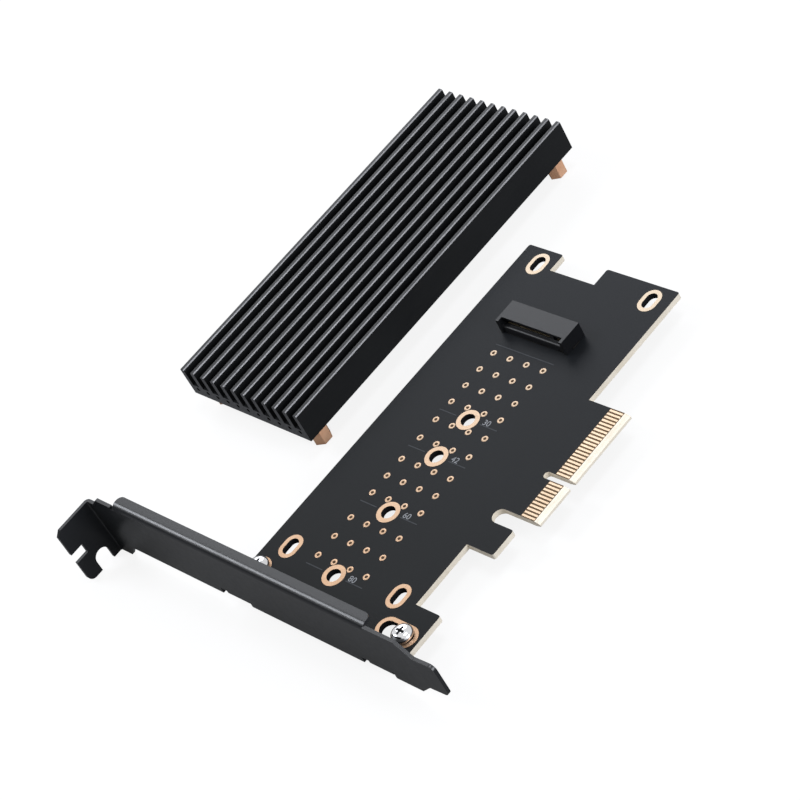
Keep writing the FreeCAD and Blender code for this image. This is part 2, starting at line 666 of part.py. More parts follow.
def make_bracket():
    """The bracket: folded sheet with tab, flange, leaning tongue and two ears under the board."""
    body = new_body("bracket")
    bend = S["bend_inner"] + S["sheet"]
    tab_high = S["tab_wide"] - S["tab_low"]
    foot_high = S["foot_low"] + S["foot_wide"]
    bend_top = S["flange_top"] - bend
    notch_top = bend_top - S["relief_deep"]
    ear_low = BOARD_LOW - S["sheet"]
    bend_low = ear_low + bend
    notch_low = bend_low + S["relief_deep"]
    ears = []
    for middle in (S["screw_left"], -S["screw_right"]):
        low = middle - S["ear_wide"] / 2
        ears.append((low, low + S["ear_wide"]))
    low_edge = -S["plate_low"]

    plate = new_sketch(body, "bracket_plate", "YZ_Plane", S["plate_out"])
    tab_root = S["tab_y"] - S["bend_inner"]
    outline = [
        (tab_root, -S["tab_low"]),
        (tab_root, tab_high),
        (S["tab_top_in"], tab_high),
        (S["tab_top_out"], S["tab_top_edge"]),
        (S["flange_left"] + S["relief_wide"], S["tab_top_edge"]),
        (S["flange_left"] + S["relief_wide"], notch_top),
        (S["flange_left"], notch_top),
        (S["flange_left"], bend_top),
        (S["flange_right"], bend_top),
        (S["flange_right"], S["plate_high"]),
        (S["foot_step_in"], S["plate_high"]),
        (S["foot_step_out"], foot_high),
        (S["foot_step_out"], S["foot_low"]),
        (S["foot_step_in"], low_edge),
    ]
    for low, high in reversed(ears):
        outline += [
            (low - S["ear_relief_near"], low_edge),
            (low - S["ear_relief_near"], notch_low),
            (low, notch_low),
            (low, bend_low),
            (high, bend_low),
            (high, notch_low),
            (high + S["ear_relief_wide"], notch_low),
            (high + S["ear_relief_wide"], low_edge),
        ]
    outline += [(S["tab_step_out"], low_edge), (S["tab_step_in"], -S["tab_low"])]
    polygon(plate, outline)
    pad(body, plate, S["sheet"])

    flange = new_sketch(body, "bracket_flange", "XZ_Plane", -S["flange_left"])
    draw_bend(flange, PLATE_INNER, S["plate_out"], bend_top, 1, S["plate_out"] + S["flange_reach"])
    pad(body, flange, S["flange_left"] - S["flange_right"])
    for place, (low, high) in enumerate(ears):
        ear = new_sketch(body, "bracket_ear_%d" % place, "XZ_Plane", -high)
        draw_bend(ear, PLATE_INNER, S["plate_out"], bend_low, -1, S["screw_x"])
        pad(body, ear, high - low)
        nose = new_sketch(body, "bracket_nose_%d" % place, "XY_Plane", ear_low)
        circle(nose, S["screw_x"], (low + high) / 2, S["ear_wide"] / 2)
        pad(body, nose, S["sheet"])
        thread = new_sketch(body, "bracket_thread_%d" % place, "XY_Plane")
        circle(thread, S["screw_x"], (low + high) / 2, S["screw_radius"] + S["thread_gap"])
        pocket(body, thread)

    tab = new_sketch(body, "bracket_tab", "XZ_Plane", -(S["tab_y"] + S["sheet"]))
    tab_out = S["plate_out"] - S["tab_deep"]
    tab_in = S["plate_out"] - S["bend_inner"]
    seat_x = S["plate_out"] - S["seat_centre"]
    notch_x = tab_out + S["notch_deep"]
    notch_low_z = S["notch_high"] - S["notch_wide"]
    polygon(tab, (
        (tab_in, -S["tab_low"]), (tab_in, tab_high),
        (tab_out + S["tab_chamfer"], tab_high), (tab_out, tab_high - S["tab_chamfer"]),
        (tab_out, S["notch_high"]), (notch_x, S["notch_high"]),
        (notch_x, notch_low_z), (tab_out, notch_low_z),
        (tab_out, -S["tab_low"]),
    ))
    pad(body, tab, S["sheet"])
    seat = new_sketch(body, "bracket_seat", "XZ_Plane")
    seat_travel = S["tab_low"] - S["seat_top"]
    obround(seat, seat_x, -S["tab_low"], seat_travel, S["seat_radius"], True)
    pocket(body, seat)

    fold = new_sketch(body, "bracket_fold", "XY_Plane", -S["tab_low"])
    draw_fold(fold)
    pad(body, fold, S["tab_wide"])

    foot = new_sketch(body, "bracket_foot", "XY_Plane", S["foot_low"])
    polygon(foot, (
        (S["plate_out"], S["foot_step_out"]), (PLATE_INNER, S["foot_step_out"]),
        (PLATE_INNER + S["foot_lean"], S["foot_y"]), (S["plate_out"] + S["foot_lean"], S["foot_y"]),
    ))
    pad(body, foot, S["foot_wide"])
    round_edges(body, ((0, S["foot_y"], S["foot_low"]), (0, S["foot_y"], foot_high)),
                S["foot_round"], (1, 0, 0))
    round_edges(body, ((tab_out, 0, -S["tab_low"]),), S["tab_round"], (0, 1, 0))
    reach = S["plate_out"] + S["flange_reach"]
    round_edges(body, ((reach, S["flange_left"], 0), (reach, S["flange_right"], 0)),
                S["flange_round"], (0, 0, 1))


def draw_fold(sketch):
    """The quarter bend between the plate and the tab, seen from above."""
    radius = S["bend_inner"]
    whole = radius + S["sheet"]
    centre = (S["plate_out"] - radius, S["tab_y"] - radius)
    arcs = []
    for size in (whole, radius):
        ring = Part.Circle(vector(*centre), FreeCAD.Vector(0, 0, 1), size.value)
        arc = sketch.addGeometry(Part.ArcOfCircle(ring, 0, math.pi / 2), False)
        fix_point(sketch, arc, 3, *centre)
        place = sketch.addConstraint(Sketcher.Constraint("Radius", arc, size.value))
        sketch.setExpression("Constraints[%d]" % place, size.text)
        arcs.append(arc)
    for end, kind in ((1, "Horizontal"), (2, "Vertical")):
        line = sketch.addGeometry(
            Part.LineSegment(sketch.getPoint(arcs[0], end), sketch.getPoint(arcs[1], end)), False)
        sketch.addConstraint(Sketcher.Constraint("Coincident", line, 1, arcs[0], end))
        sketch.addConstraint(Sketcher.Constraint("Coincident", line, 2, arcs[1], end))
        sketch.addConstraint(Sketcher.Constraint(kind, line, 1, arcs[0], 3))
        sketch.addConstraint(Sketcher.Constraint(kind, line, 2, arcs[1], 3))


def make_screw(label, along):
    """A pan-head screw with a cross recess, its head on the ring of its slot."""
    body = new_body(label)
    half = new_sketch(body, "%s_half" % label, "XZ_Plane")
    head, rim, top = S["screw_head"], S["screw_head_rim"], S["screw_head_tall"]
    polygon(half, ((ZERO, -S["screw_long"]), (S["screw_radius"], -S["screw_long"]),
                   (S["screw_radius"], ZERO), (head, ZERO), (head, rim),
                   (S["screw_crown"], top), (ZERO, top)))
    turned = body.newObject("PartDesign::Revolution", "%s_turned" % label)
    turned.Profile = half
    turned.ReferenceAxis = (half, ["V_Axis"])
    turned.Angle = 360
    doc.recompute()
    recess = new_sketch(body, "%s_recess" % label, "XY_Plane", top)
    reach, wide = S["recess_reach"], S["recess_wide"] / 2
    polygon(recess, ((reach, -wide), (reach, wide), (wide, wide), (wide, reach), (-wide, reach),
                     (-wide, wide), (-reach, wide), (-reach, -wide), (-wide, -wide),
                     (-wide, -reach), (wide, -reach), (wide, -wide)))
    pocket(body, recess, S["recess_deep"])
    body.setExpression("Placement.Base.x", S["screw_x"].text)
    body.setExpression("Placement.Base.y", along.text)
    body.setExpression("Placement.Base.z", S["foil"].text)


def make_sink():
    """The heatsink: an extruded base with fins."""
    body = new_body("heatsink")
    half_long = S["sink_long"] / 2
    pitch = S["fin_pitch"]
    half_wide = (pitch * (S["fin_count"] - 1) + S["fin_wide"]) / 2
    block = new_sketch(body, "sink_block", "YZ_Plane", -half_long)
    rectangle(block, -half_wide, ZERO, half_wide, S["sink_tall"])
    pad(body, block, S["sink_long"])
    gap_low = -half_wide + S["fin_wide"]
    gap_high = -half_wide + pitch
    gap = new_sketch(body, "sink_gap", "YZ_Plane", -half_long)
    rectangle(gap, gap_low, S["sink_base"], gap_high, S["sink_tall"] + 1)
    cut = pocket(body, gap, S["sink_long"], True)
    pattern(body, cut, "Y_Axis", pitch, S["fin_count"] - 1)
    place_with_sink(body)


def place_with_sink(body):
    """Sets a body at the heatsink's place, its standoffs' ends level with the tab's lower edge."""
    body.setExpression("Placement.Base.x", S["sink_x"].text)
    body.setExpression("Placement.Base.y", S["sink_y"].text)
    body.setExpression("Placement.Base.z", (S["standoff_tall"] - S["tab_low"]).text)


def make_standoffs():
    """Four hexagonal standoffs under the heatsink, each with a threaded hole from below."""
    body = new_body("standoffs")
    low = -S["standoff_tall"]
    outline = new_sketch(body, "standoff_hex", "XY_Plane", low)
    bores = new_sketch(body, "standoff_bore_plan", "XY_Plane", low)
    circumradius = S["standoff_flats"] / math.sqrt(3)
    for side_x in (-0.5, 0.5):
        for side_y in (-0.5, 0.5):
            across, along = S["sink_spread_x"] * side_x, S["sink_spread_y"] * side_y
            many_sided(outline, across, along, circumradius, as_size(6))
            circle(bores, across, along, S["standoff_bore"])
    pad(body, outline, S["standoff_tall"])
    pocket(body, bores, S["standoff_bore_deep"], True)
    place_with_sink(body)


def make_thermal_pad():
    """The soft pad under the heatsink's base."""
    body = new_body("thermal_pad")
    plan = new_sketch(body, "pad_plan", "XY_Plane", -S["pad_thick"])
    half_long, half_wide = S["pad_long"] / 2, S["pad_wide"] / 2
    rectangle(plan, -half_long, -half_wide, half_long, half_wide)
    pad(body, plan, S["pad_thick"])
    place_with_sink(body)


make_board()
make_fingers("edge_contacts_front", ZERO, False)
make_fingers("edge_contacts_back", BOARD_LOW, True)
make_plating("module_hole_rings", draw_module_holes, S["hole_ring"])
make_plating("sink_slot_rings", draw_sink_slots, S["sink_slot_ring"])
make_plating("bracket_ring_left", draw_left_pad, S["pad_ring"])
make_plating("bracket_ring_right", draw_right_pad, S["pad_ring"])
make_lands()
make_print()
make_socket()
make_socket_metal()
make_bracket()
make_screw("bracket_screw_left", S["screw_left"])
make_screw("bracket_screw_right", -S["screw_right"])
make_sink()
make_standoffs()
make_thermal_pad()
doc.recompute()

# Every feature is sound before anything is written.
for item in doc.Objects:
    if "Invalid" in item.State or "Error" in item.State:
        raise RuntimeError("%s is not sound: %s" % (item.Name, item.State))
os.makedirs("parts", exist_ok=True)
for body in [item for item in doc.Objects if item.TypeId == "PartDesign::Body"]:
    if body.Shape.isNull() or not body.Shape.isValid():
        raise RuntimeError("%s has no sound shape" % body.Label)
for body in [item for item in doc.Objects if item.TypeId == "PartDesign::Body"]:
    body.Shape.exportStep("parts/%s.step" % body.Label)
    print("%-24s %8.1f mm3, %d solids" % (body.Label, body.Shape.Volume, len(body.Shape.Solids)))
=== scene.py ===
"""Studio scene for an adapter card for solid state modules, with its heatsink beside it.

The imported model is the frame, and every piece takes its place from it. The classes hold their sizes in
millimetres, with x = 0 at the farthest module hole, z = 0 on the board's upper face and +Y towards the
bracket's fixing tab. A mesh is made in metres.
"""

import logging
import math
from collections.abc import Callable, Sequence
from dataclasses import dataclass
from enum import Enum
from typing import Any

import bmesh
import bpy
from mathutils import Matrix, Quaternion, Vector


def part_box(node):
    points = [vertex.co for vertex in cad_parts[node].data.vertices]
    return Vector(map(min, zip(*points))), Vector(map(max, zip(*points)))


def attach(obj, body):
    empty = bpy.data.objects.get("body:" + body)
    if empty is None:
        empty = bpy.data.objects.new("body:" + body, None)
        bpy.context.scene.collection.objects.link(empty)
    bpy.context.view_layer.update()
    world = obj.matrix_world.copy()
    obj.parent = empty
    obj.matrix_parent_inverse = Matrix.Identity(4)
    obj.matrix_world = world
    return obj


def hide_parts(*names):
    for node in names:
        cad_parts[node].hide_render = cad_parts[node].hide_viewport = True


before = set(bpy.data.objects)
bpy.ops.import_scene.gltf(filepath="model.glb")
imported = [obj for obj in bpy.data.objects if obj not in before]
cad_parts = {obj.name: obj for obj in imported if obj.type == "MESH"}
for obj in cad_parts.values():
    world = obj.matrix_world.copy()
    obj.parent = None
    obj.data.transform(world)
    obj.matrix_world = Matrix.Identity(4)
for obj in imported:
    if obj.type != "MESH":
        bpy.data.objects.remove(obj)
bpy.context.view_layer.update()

MM = 0.001
UP = Vector((0.0, 0.0, 1.0))
MERGE = 1e-6  # metres within which two corners are one
log = logging.getLogger("adapter_card")

FaceTest = Callable[[Vector, Vector], bool]


# Colours, nodes and finishes


def linear(code: str) -> tuple[float, float, float, float]:
    """Turns an sRGB hex colour into the linear colour of a shader's socket.

    Args:
        code: six hex digits.

    Returns:
        Red, green, blue and an alpha of one.
    """
    parts = [int(code[i : i + 2], 16) / 255 for i in (0, 2, 4)]
    red, green, blue = (p / 12.92 if p <= 0.04045 else ((p + 0.055) / 1.055) ** 2.4 for p in parts)
    return red, green, blue, 1.0


def add_node(
    tree: bpy.types.NodeTree,
    kind: str,
    settings: dict[str, Any] | None = None,
    inputs: dict[str | int, Any] | None = None,
) -> bpy.types.Node:
    """Adds one node to a tree.

    Args:
        tree: the material's or world's node tree.
        kind: the node's type name.
        settings: attributes of the node.
        inputs: a value or another node's output for each socket named or counted.

    Returns:
        The new node.
    """
    node = tree.nodes.new(kind)
    for key, value in (settings or {}).items():
        setattr(node, key, value)
    for key, value in (inputs or {}).items():
        if isinstance(value, bpy.types.NodeSocket):
            tree.links.new(value, node.inputs[key])
        else:
            node.inputs[key].default_value = value
    return node


class Grain(Enum):
    """How a finish's fine grain is stretched along X, Y and Z."""

    EVEN = (1.0, 1.0, 1.0)
    DRAWN = (0.02, 1.0, 1.0)
    MILLED = (0.9, 0.9, 0.12)
    UPRIGHT = (1.0, 1.0, 0.08)


class Pattern(Enum):
    """The regular pattern that a finish may carry over its grain."""

    PLAIN = "plain"
    WEAVE = "weave"
    PLIES = "plies"
    SPECKLE = "speckle"
    SAWN = "sawn"


@dataclass(frozen=True)
class Finish:
    """A surface finish: a real material and how its surface was made.

    The colour wanders to a second one in clouds, and the fine grain moves the roughness and the relief.
    A far colour takes over along X, from the bracket's end of the card to the other: painted light, which
    stands in for how the light falls along the card. Some finishes are painted highlight or shade.
    """

    name: str
    colour: str
    second: str
    roughness: float
    grain_mm: float
    relief_mm: float
    metallic: float = 0.0
    swing: float = 0.06
    grain: Grain = Grain.EVEN
    specular: float = 0.5
    cloud_mm: float = 14.0
    pattern: Pattern = Pattern.PLAIN
    pitch_mm: float = 1.0
    pattern_share: float = 0.3
    # The far colour is painted light: lighter on the mask and paler on the gold towards the card's far end.
    far: str | None = None
    reach_mm: tuple[float, float] = (-10.0, 100.0)

    def material(self) -> bpy.types.Material:
        """Gives the finish's material, made the first time that it is asked for."""
        made = bpy.data.materials.get(self.name)
        return made or self._make()

    def _make(self) -> bpy.types.Material:
        """Builds the node tree on Object coordinates."""
        material = bpy.data.materials.new(self.name)
        material.use_nodes = True
        material.diffuse_color = linear(self.colour)
        tree = material.node_tree
        tree.nodes.clear()
        place = add_node(tree, "ShaderNodeTexCoord").outputs["Object"]
        stretched = add_node(
            tree, "ShaderNodeMapping", inputs={"Vector": place, "Scale": self.grain.value}
        ).outputs["Vector"]
        fine = add_node(
            tree,
            "ShaderNodeTexNoise",
            inputs={"Vector": stretched, "Scale": 1 / (self.grain_mm * MM), "Detail": 3.0, "Roughness": 0.6},
        ).outputs["Fac"]
        clouds = add_node(
            tree,
            "ShaderNodeTexNoise",
            inputs={"Vector": place, "Scale": 1 / (self.cloud_mm * MM), "Detail": 2.0},
        ).outputs["Fac"]
        relief = self._with_pattern(tree, place, fine)
        tint = add_node(
            tree, "ShaderNodeMath", {"operation": "MULTIPLY_ADD"}, {0: relief, 1: 0.5, 2: clouds}
        ).outputs[0]
        tint = add_node(
            tree,
            "ShaderNodeMapRange",
            inputs={"Value": tint, "From Min": 0.45, "From Max": 1.05},
        ).outputs["Result"]
        colour = add_node(
            tree,
            "ShaderNodeMix",
            {"data_type": "RGBA"},
            {0: tint, 6: linear(self.colour), 7: linear(self.second)},
        ).outputs[2]
        # Painted light: the colour turns to the far tone along X, as the light falls along the card.
        if self.far:
            along = add_node(tree, "ShaderNodeSeparateXYZ", inputs={"Vector": place}).outputs["X"]
            near_end, far_end = self.reach_mm
            share = add_node(
                tree,
                "ShaderNodeMapRange",
                inputs={"Value": along, "From Min": near_end * MM, "From Max": far_end * MM},
            ).outputs["Result"]
            colour = add_node(
                tree, "ShaderNodeMix", {"data_type": "RGBA"}, {0: share, 6: colour, 7: linear(self.far)}
            ).outputs[2]
        roughness = add_node(
            tree,
            "ShaderNodeMapRange",
            inputs={
                "Value": relief,
                "From Min": 0.25,
                "From Max": 0.75,
                "To Min": self.roughness - self.swing,
                "To Max": self.roughness + self.swing,
            },
        ).outputs["Result"]
        bump = add_node(
            tree,
            "ShaderNodeBump",
            inputs={"Height": relief, "Distance": self.relief_mm * MM, "Strength": 1.0},
        ).outputs["Normal"]
        shader = add_node(
            tree,
            "ShaderNodeBsdfPrincipled",
            inputs={
                "Base Color": colour,
                "Roughness": roughness,
                "Normal": bump,
                "Metallic": self.metallic,
                "Specular IOR Level": self.specular,
            },
        )
        add_node(tree, "ShaderNodeOutputMaterial", inputs={"Surface": shader.outputs["BSDF"]})
        return material

    def _with_pattern(
        self, tree: bpy.types.NodeTree, place: bpy.types.NodeSocket, fine: bpy.types.NodeSocket
    ) -> bpy.types.NodeSocket:
        """Blends the fine grain with the regular pattern.

        Args:
            tree: the material's tree.
            place: Object coordinates.
            fine: the fine grain, from 0 to 1.

        Returns:
            The height that the relief, the roughness and the tint share.
        """
        if self.pattern is Pattern.PLAIN:
            return fine
        waves = math.tau / 20 / (self.pitch_mm * MM)
        if self.pattern is Pattern.SPECKLE:
            drops = add_node(
                tree, "ShaderNodeTexVoronoi", inputs={"Vector": place, "Scale": 1 / (self.pitch_mm * MM)}
            ).outputs["Distance"]
            shape = add_node(
                tree, "ShaderNodeMapRange", inputs={"Value": drops, "From Min": 0.1, "From Max": 0.35}
            ).outputs["Result"]
        elif self.pattern is Pattern.WEAVE:
            warp, weft = (
                add_node(
                    tree,
                    "ShaderNodeTexWave",
                    {"bands_direction": axis},
                    {"Vector": place, "Scale": waves, "Distortion": 0.8, "Detail": 1.0},
                ).outputs["Fac"]
                for axis in ("X", "Y")
            )
            shape = add_node(tree, "ShaderNodeMath", {"operation": "MULTIPLY"}, {0: warp, 1: weft}).outputs[0]
        else:
            axis = "Z" if self.pattern is Pattern.PLIES else "DIAGONAL"
            shape = add_node(
                tree,
                "ShaderNodeTexWave",
                {"bands_direction": axis},
                {"Vector": place, "Scale": waves, "Distortion": 2.5, "Detail": 2.0, "Detail Scale": 0.4},
            ).outputs["Fac"]
        return add_node(
            tree,
            "ShaderNodeMix",
            {"data_type": "FLOAT"},
            {0: self.pattern_share, 2: fine, 3: shape},
        ).outputs[0]


# Matt black solder mask, screen coated over copper and glass cloth: soft, nearly even, with a faint weave. Its
# lighter tone away from the bracket is painted light.
SOLDER_MASK_WITH_PAINTED_LIGHT = Finish(
    "solder_mask_black_with_painted_light", "0B0D0E", "111314", 0.46, 0.35, 0.0012,
    specular=0.09, pattern=Pattern.WEAVE, pitch_mm=0.9, pattern_share=0.12, cloud_mm=30, far="15171A",
)
# Glass epoxy laminate cut by a router: cream, with its plies along the edge and small torn fibres.
LAMINATE_EDGE = Finish(
    "glass_epoxy_routed", "EFE6D6", "DDD2BE", 0.7, 0.5, 0.012,
    grain=Grain.MILLED, pattern=Pattern.PLIES, pitch_mm=0.36, pattern_share=0.4, cloud_mm=3,
)
# The same laminate bare between the contact fingers: brown in their shade, with the cloth showing.
LAMINATE_BARE = Finish(
    "glass_epoxy_bare", "5F4B33", "4D3C29", 0.65, 0.2, 0.004,
    pattern=Pattern.WEAVE, pitch_mm=0.5, pattern_share=0.4, specular=0.15,
)
# The walls of the drilled holes and slots, painted dark: painted shade, so that a hole reads black against the
# white ground.
HOLE_WALL_PAINTED_SHADE = Finish("hole_wall_painted_shade", "0E0E10", "161618", 0.6, 0.25, 0.004, specular=0.15)
# Immersion gold over nickel on copper: peach, with the copper's soft grain. Its paler tone away from the
# bracket is painted light.
IMMERSION_GOLD_WITH_PAINTED_LIGHT = Finish(
    "immersion_gold_with_painted_light", "AE9076", "9E7E63", 0.4, 0.12, 0.002, metallic=1.0, swing=0.05, cloud_mm=5, far="9B8D7B",
)
# Hard gold on the card's contact fingers: smoother, drawn along by the plating bath and by insertion.
HARD_GOLD = Finish(
    "hard_gold", "BAA58E", "AC957C", 0.4, 0.15, 0.0015, metallic=1.0, swing=0.06, cloud_mm=6,
)
# Gold flash on the socket's sprung contacts.
GOLD_FLASH = Finish("gold_flash", "8C7F66", "746851", 0.45, 0.1, 0.001, metallic=1.0, swing=0.05)
# Reflowed solder on the socket's feet and anchors, painted near black: painted shade, as under the socket's
# lip.
FEET_PAINTED_SHADE = Finish("feet_painted_shade", "2A2928", "1F1E1E", 0.6, 0.15, 0.003, metallic=1.0, swing=0.05)
# Plugged via: copper barrel filled with mask, seen as a dark brown dot.
PLUGGED_VIA = Finish("plugged_via", "4C3822", "35271A", 0.7, 0.1, 0.004, specular=0.15)
# Screened epoxy ink, worn thin and grey.
PRINT_INK = Finish("screened_ink", "404245", "333538", 0.75, 0.12, 0.002, specular=0.15, cloud_mm=2)
# The same ink where the mesh laid it thicker, on the numbers.
NUMBER_INK = Finish("screened_ink_thick", "8E9093", "7A7C80", 0.75, 0.12, 0.002, specular=0.15, cloud_mm=2)
# Moulded glass filled nylon: satin black with a fine spark eroded texture.
MOULDED_NYLON = Finish("moulded_nylon", "0B0C0E", "101114", 0.4, 0.12, 0.002, specular=0.26, cloud_mm=6)
# Powder coat over sheet steel: satin black with a soft orange peel.
POWDER_COAT = Finish(
    "powder_coat_black", "111316", "15171A", 0.33, 1.6, 0.0004, specular=0.5, swing=0.03, cloud_mm=20,
)
# Extruded aluminium, black anodised: die lines along its length and a dry satin sheen.
ANODISED_DRAWN = Finish(
    "black_anodised_extrusion", "171819", "1D1E1F", 0.34, 0.25, 0.0012,
    grain=Grain.DRAWN, specular=0.16, swing=0.05, cloud_mm=25,
)
# A painted highlight along the rounded front edge of each fin: a light, glossy metallic strip where the light
# catches the tips.
ANODISED_PAINTED_HIGHLIGHT = Finish(
    "black_anodised_painted_highlight", "7E7E80", "6C6C6E", 0.48, 0.25, 0.001,
    metallic=0.9, grain=Grain.DRAWN, swing=0.05, cloud_mm=9,
)
# The same bar's sawn and anodised ends, with the saw's arcs across; their tone, lighter than the sides, is
# painted light.
ANODISED_SAWN_PAINTED_LIGHT = Finish(
    "black_anodised_sawn_painted_light", "3A3B3E", "48494C", 0.45, 0.3, 0.006,
    specular=0.4, pattern=Pattern.SAWN, pitch_mm=0.7, pattern_share=0.5, cloud_mm=8,
)
# Bright nickel on a turned and pressed screw.
BRIGHT_NICKEL = Finish("bright_nickel", "DCDCDE", "C6C7C9", 0.1, 0.6, 0.001, metallic=1.0, swing=0.03)
# The cross recess, painted dull and dark: painted shade, as falls inside it.
RECESS_PAINTED_SHADE = Finish("screw_recess_painted_shade", "5E5E60", "4A4A4C", 0.6, 0.2, 0.004, metallic=1.0, swing=0.05)
# Turned brass, red with copper: hexagon stock with drawn lines along its length.
TURNED_BRASS = Finish(
    "turned_brass", "F4C4A0", "E4AC86", 0.5, 0.18, 0.003,
    metallic=0.3, grain=Grain.UPRIGHT, swing=0.08, cloud_mm=3,
)
# Thermal pad of filled silicone: soft grey, dull, grains of filler.
FILLED_SILICONE = Finish(
    "filled_silicone", "8E9298", "7A7E86", 0.82, 0.5, 0.03,
    specular=0.25, pattern=Pattern.SPECKLE, pitch_mm=0.6, pattern_share=0.5,
)


# The workbench: selecting, shaping and finishing a mesh as by hand


class Part(Enum):
    """What a selection is made of."""

    FACES = "FACE"
    EDGES = "EDGE"


def put_down() -> None:
    """Leaves edit mode and deselects everything."""
    if bpy.context.object and bpy.context.object.mode != "OBJECT":
        bpy.ops.object.mode_set(mode="OBJECT")
    bpy.ops.object.select_all(action="DESELECT")


def take_up(piece: bpy.types.Object) -> None:
    """Makes one piece the only one selected, and the active one.

    Args:
        piece: the piece.
    """
    put_down()
    piece.select_set(True)
    bpy.context.view_layer.objects.active = piece


def start(piece_name: str) -> bpy.types.Object:
    """Names the primitive just added and opens it for shaping, with all of it selected.

    Args:
        piece_name: the name.

    Returns:
        The primitive.
    """
    piece = bpy.context.object
    piece.name = piece.data.name = piece_name
    bpy.ops.object.mode_set(mode="EDIT")
    bpy.ops.mesh.select_all(action="SELECT")
    return piece


def settle(piece: bpy.types.Object) -> bpy.types.Object:
    """Puts the piece's place into its mesh, merges doubles and turns its faces outwards.

    Args:
        piece: the piece.

    Returns:
        The same piece.
    """
    take_up(piece)
    bpy.ops.object.transform_apply(location=True, rotation=True, scale=True)
    bpy.ops.object.mode_set(mode="EDIT")
    bpy.ops.mesh.select_all(action="SELECT")
    bpy.ops.mesh.remove_doubles(threshold=MERGE)
    bpy.ops.mesh.normals_make_consistent(inside=False)
    put_down()
    return piece


def copy_of(node: str, name: str) -> bpy.types.Object:
    """Copies a CAD node's mesh into a new piece, merged and freed of its loose triangles.

    Args:
        node: the CAD node.
        name: the new piece's name.

    Returns:
        The new piece, in its place.
    """
    piece = bpy.data.objects.new(name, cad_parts[node].data.copy())
    bpy.context.scene.collection.objects.link(piece)
    piece.data.name = name
    piece.data.materials.clear()
    take_up(piece)
    bpy.ops.mesh.customdata_custom_splitnormals_clear()
    bpy.ops.object.mode_set(mode="EDIT")
    bpy.ops.mesh.select_all(action="SELECT")
    bpy.ops.mesh.remove_doubles(threshold=MERGE)
    bpy.ops.mesh.dissolve_limited(angle_limit=math.radians(0.4))
    put_down()
    return piece


def mark(piece: bpy.types.Object, part: Part, test: FaceTest) -> int:
    """Opens a piece with the faces or edges selected for which a test holds.

    Args:
        piece: the piece to open in edit mode.
        part: faces or edges.
        test: takes a face's centre and normal, or an edge's middle and direction, in millimetres.

    Returns:
        How many were selected.
    """
    if piece.mode != "EDIT":
        take_up(piece)
        bpy.ops.object.mode_set(mode="EDIT")
    bpy.ops.mesh.select_mode(type=part.value)
    bpy.ops.mesh.select_all(action="DESELECT")
    shape = bmesh.from_edit_mesh(piece.data)
    found = 0
    for item in shape.faces if part is Part.FACES else shape.edges:
        if part is Part.FACES:
            hit = test(item.calc_center_median() / MM, item.normal)
        else:
            a, b = (v.co for v in item.verts)
            hit = test((a + b) / 2 / MM, (b - a).normalized())
        if hit:
            item.select_set(True)
            found += 1
    shape.select_flush_mode()
    bmesh.update_edit_mesh(piece.data)
    return found


def shape_with(piece: bpy.types.Object, kind: str, **settings: Any) -> None:
    """Adds a modifier and applies it.

    Args:
        piece: the piece to shape.
        kind: the modifier's type.
        settings: its attributes.
    """
    take_up(piece)
    modifier = piece.modifiers.new(kind.title(), kind)
    for key, value in settings.items():
        setattr(modifier, key, value)
    bpy.ops.object.modifier_apply(modifier=modifier.name)


def ease_edges(piece: bpy.types.Object, width_mm: float, segments: int = 2, above: float = 30.0) -> None:
    """Rounds a piece's sharp edges, as tumbling, coating or moulding leaves them.

    Args:
        piece: the piece.
        width_mm: the rounding's width.
        segments: its faces across.
        above: edges turning by more than this many degrees are rounded.
    """
    shape_with(
        piece,
        "BEVEL",
        width=width_mm * MM,
        segments=segments,
        limit_method="ANGLE",
        angle_limit=math.radians(above),
        use_clamp_overlap=True,
        miter_outer="MITER_ARC",
    )


def smooth(piece: bpy.types.Object, below: float = 32.0) -> None:
    """Shades a piece smooth, but for its sharp edges.

    Args:
        piece: the piece.
        below: edges turning by less than this many degrees are smooth.
    """
    take_up(piece)
    bpy.ops.object.shade_smooth_by_angle(angle=math.radians(below))
    shape_with(piece, "WEIGHTED_NORMAL", keep_sharp=True, weight=80)


def paint(piece: bpy.types.Object, finish: Finish, test: FaceTest | None = None) -> None:
    """Gives a finish to a piece, or to those of its faces for which a test holds.

    Args:
        piece: a piece or a CAD node.
        finish: the finish.
        test: takes a face's centre in millimetres and its normal; all faces when left out.
    """
    material = finish.material()
    slots = piece.data.materials
    if test is None:
        slots.clear()
        slots.append(material)
        return
    slots.append(material)
    last = len(slots) - 1
    for face in piece.data.polygons:
        if test(face.center / MM, face.normal):
            face.material_index = last


def turned(
    name: str, profile: Sequence[tuple[float, float]], centre: tuple[float, float], sides: int
) -> bpy.types.Object:
    """Turns a closed shape about an upright axis, ring by ring, each extruded from the last.

    Args:
        name: the piece's name.
        profile: radius and height of each ring; a radius of 0 at the end closes the shape in a point.
        centre: the axis, x and y.
        sides: the corners of a ring.

    Returns:
        The piece, with the first ring filled.
    """
    x, y = (c * MM for c in centre)
    (radius, height), *rest = profile
    put_down()
    bpy.ops.mesh.primitive_circle_add(
        vertices=sides, radius=radius * MM, fill_type="NGON", location=(x, y, height * MM)
    )
    piece = start(name)
    for new_radius, new_height in rest:
        bpy.ops.mesh.extrude_region_move(
            TRANSFORM_OT_translate={"value": (0.0, 0.0, (new_height - height) * MM)}
        )
        if new_radius > 0:
            ratio = new_radius / radius
            bpy.ops.transform.resize(
                value=(ratio, ratio, 1.0), center_override=(x, y, new_height * MM)
            )
        else:
            bpy.ops.mesh.merge(type="CENTER")
        radius, height = new_radius or radius, new_height
    return settle(piece)


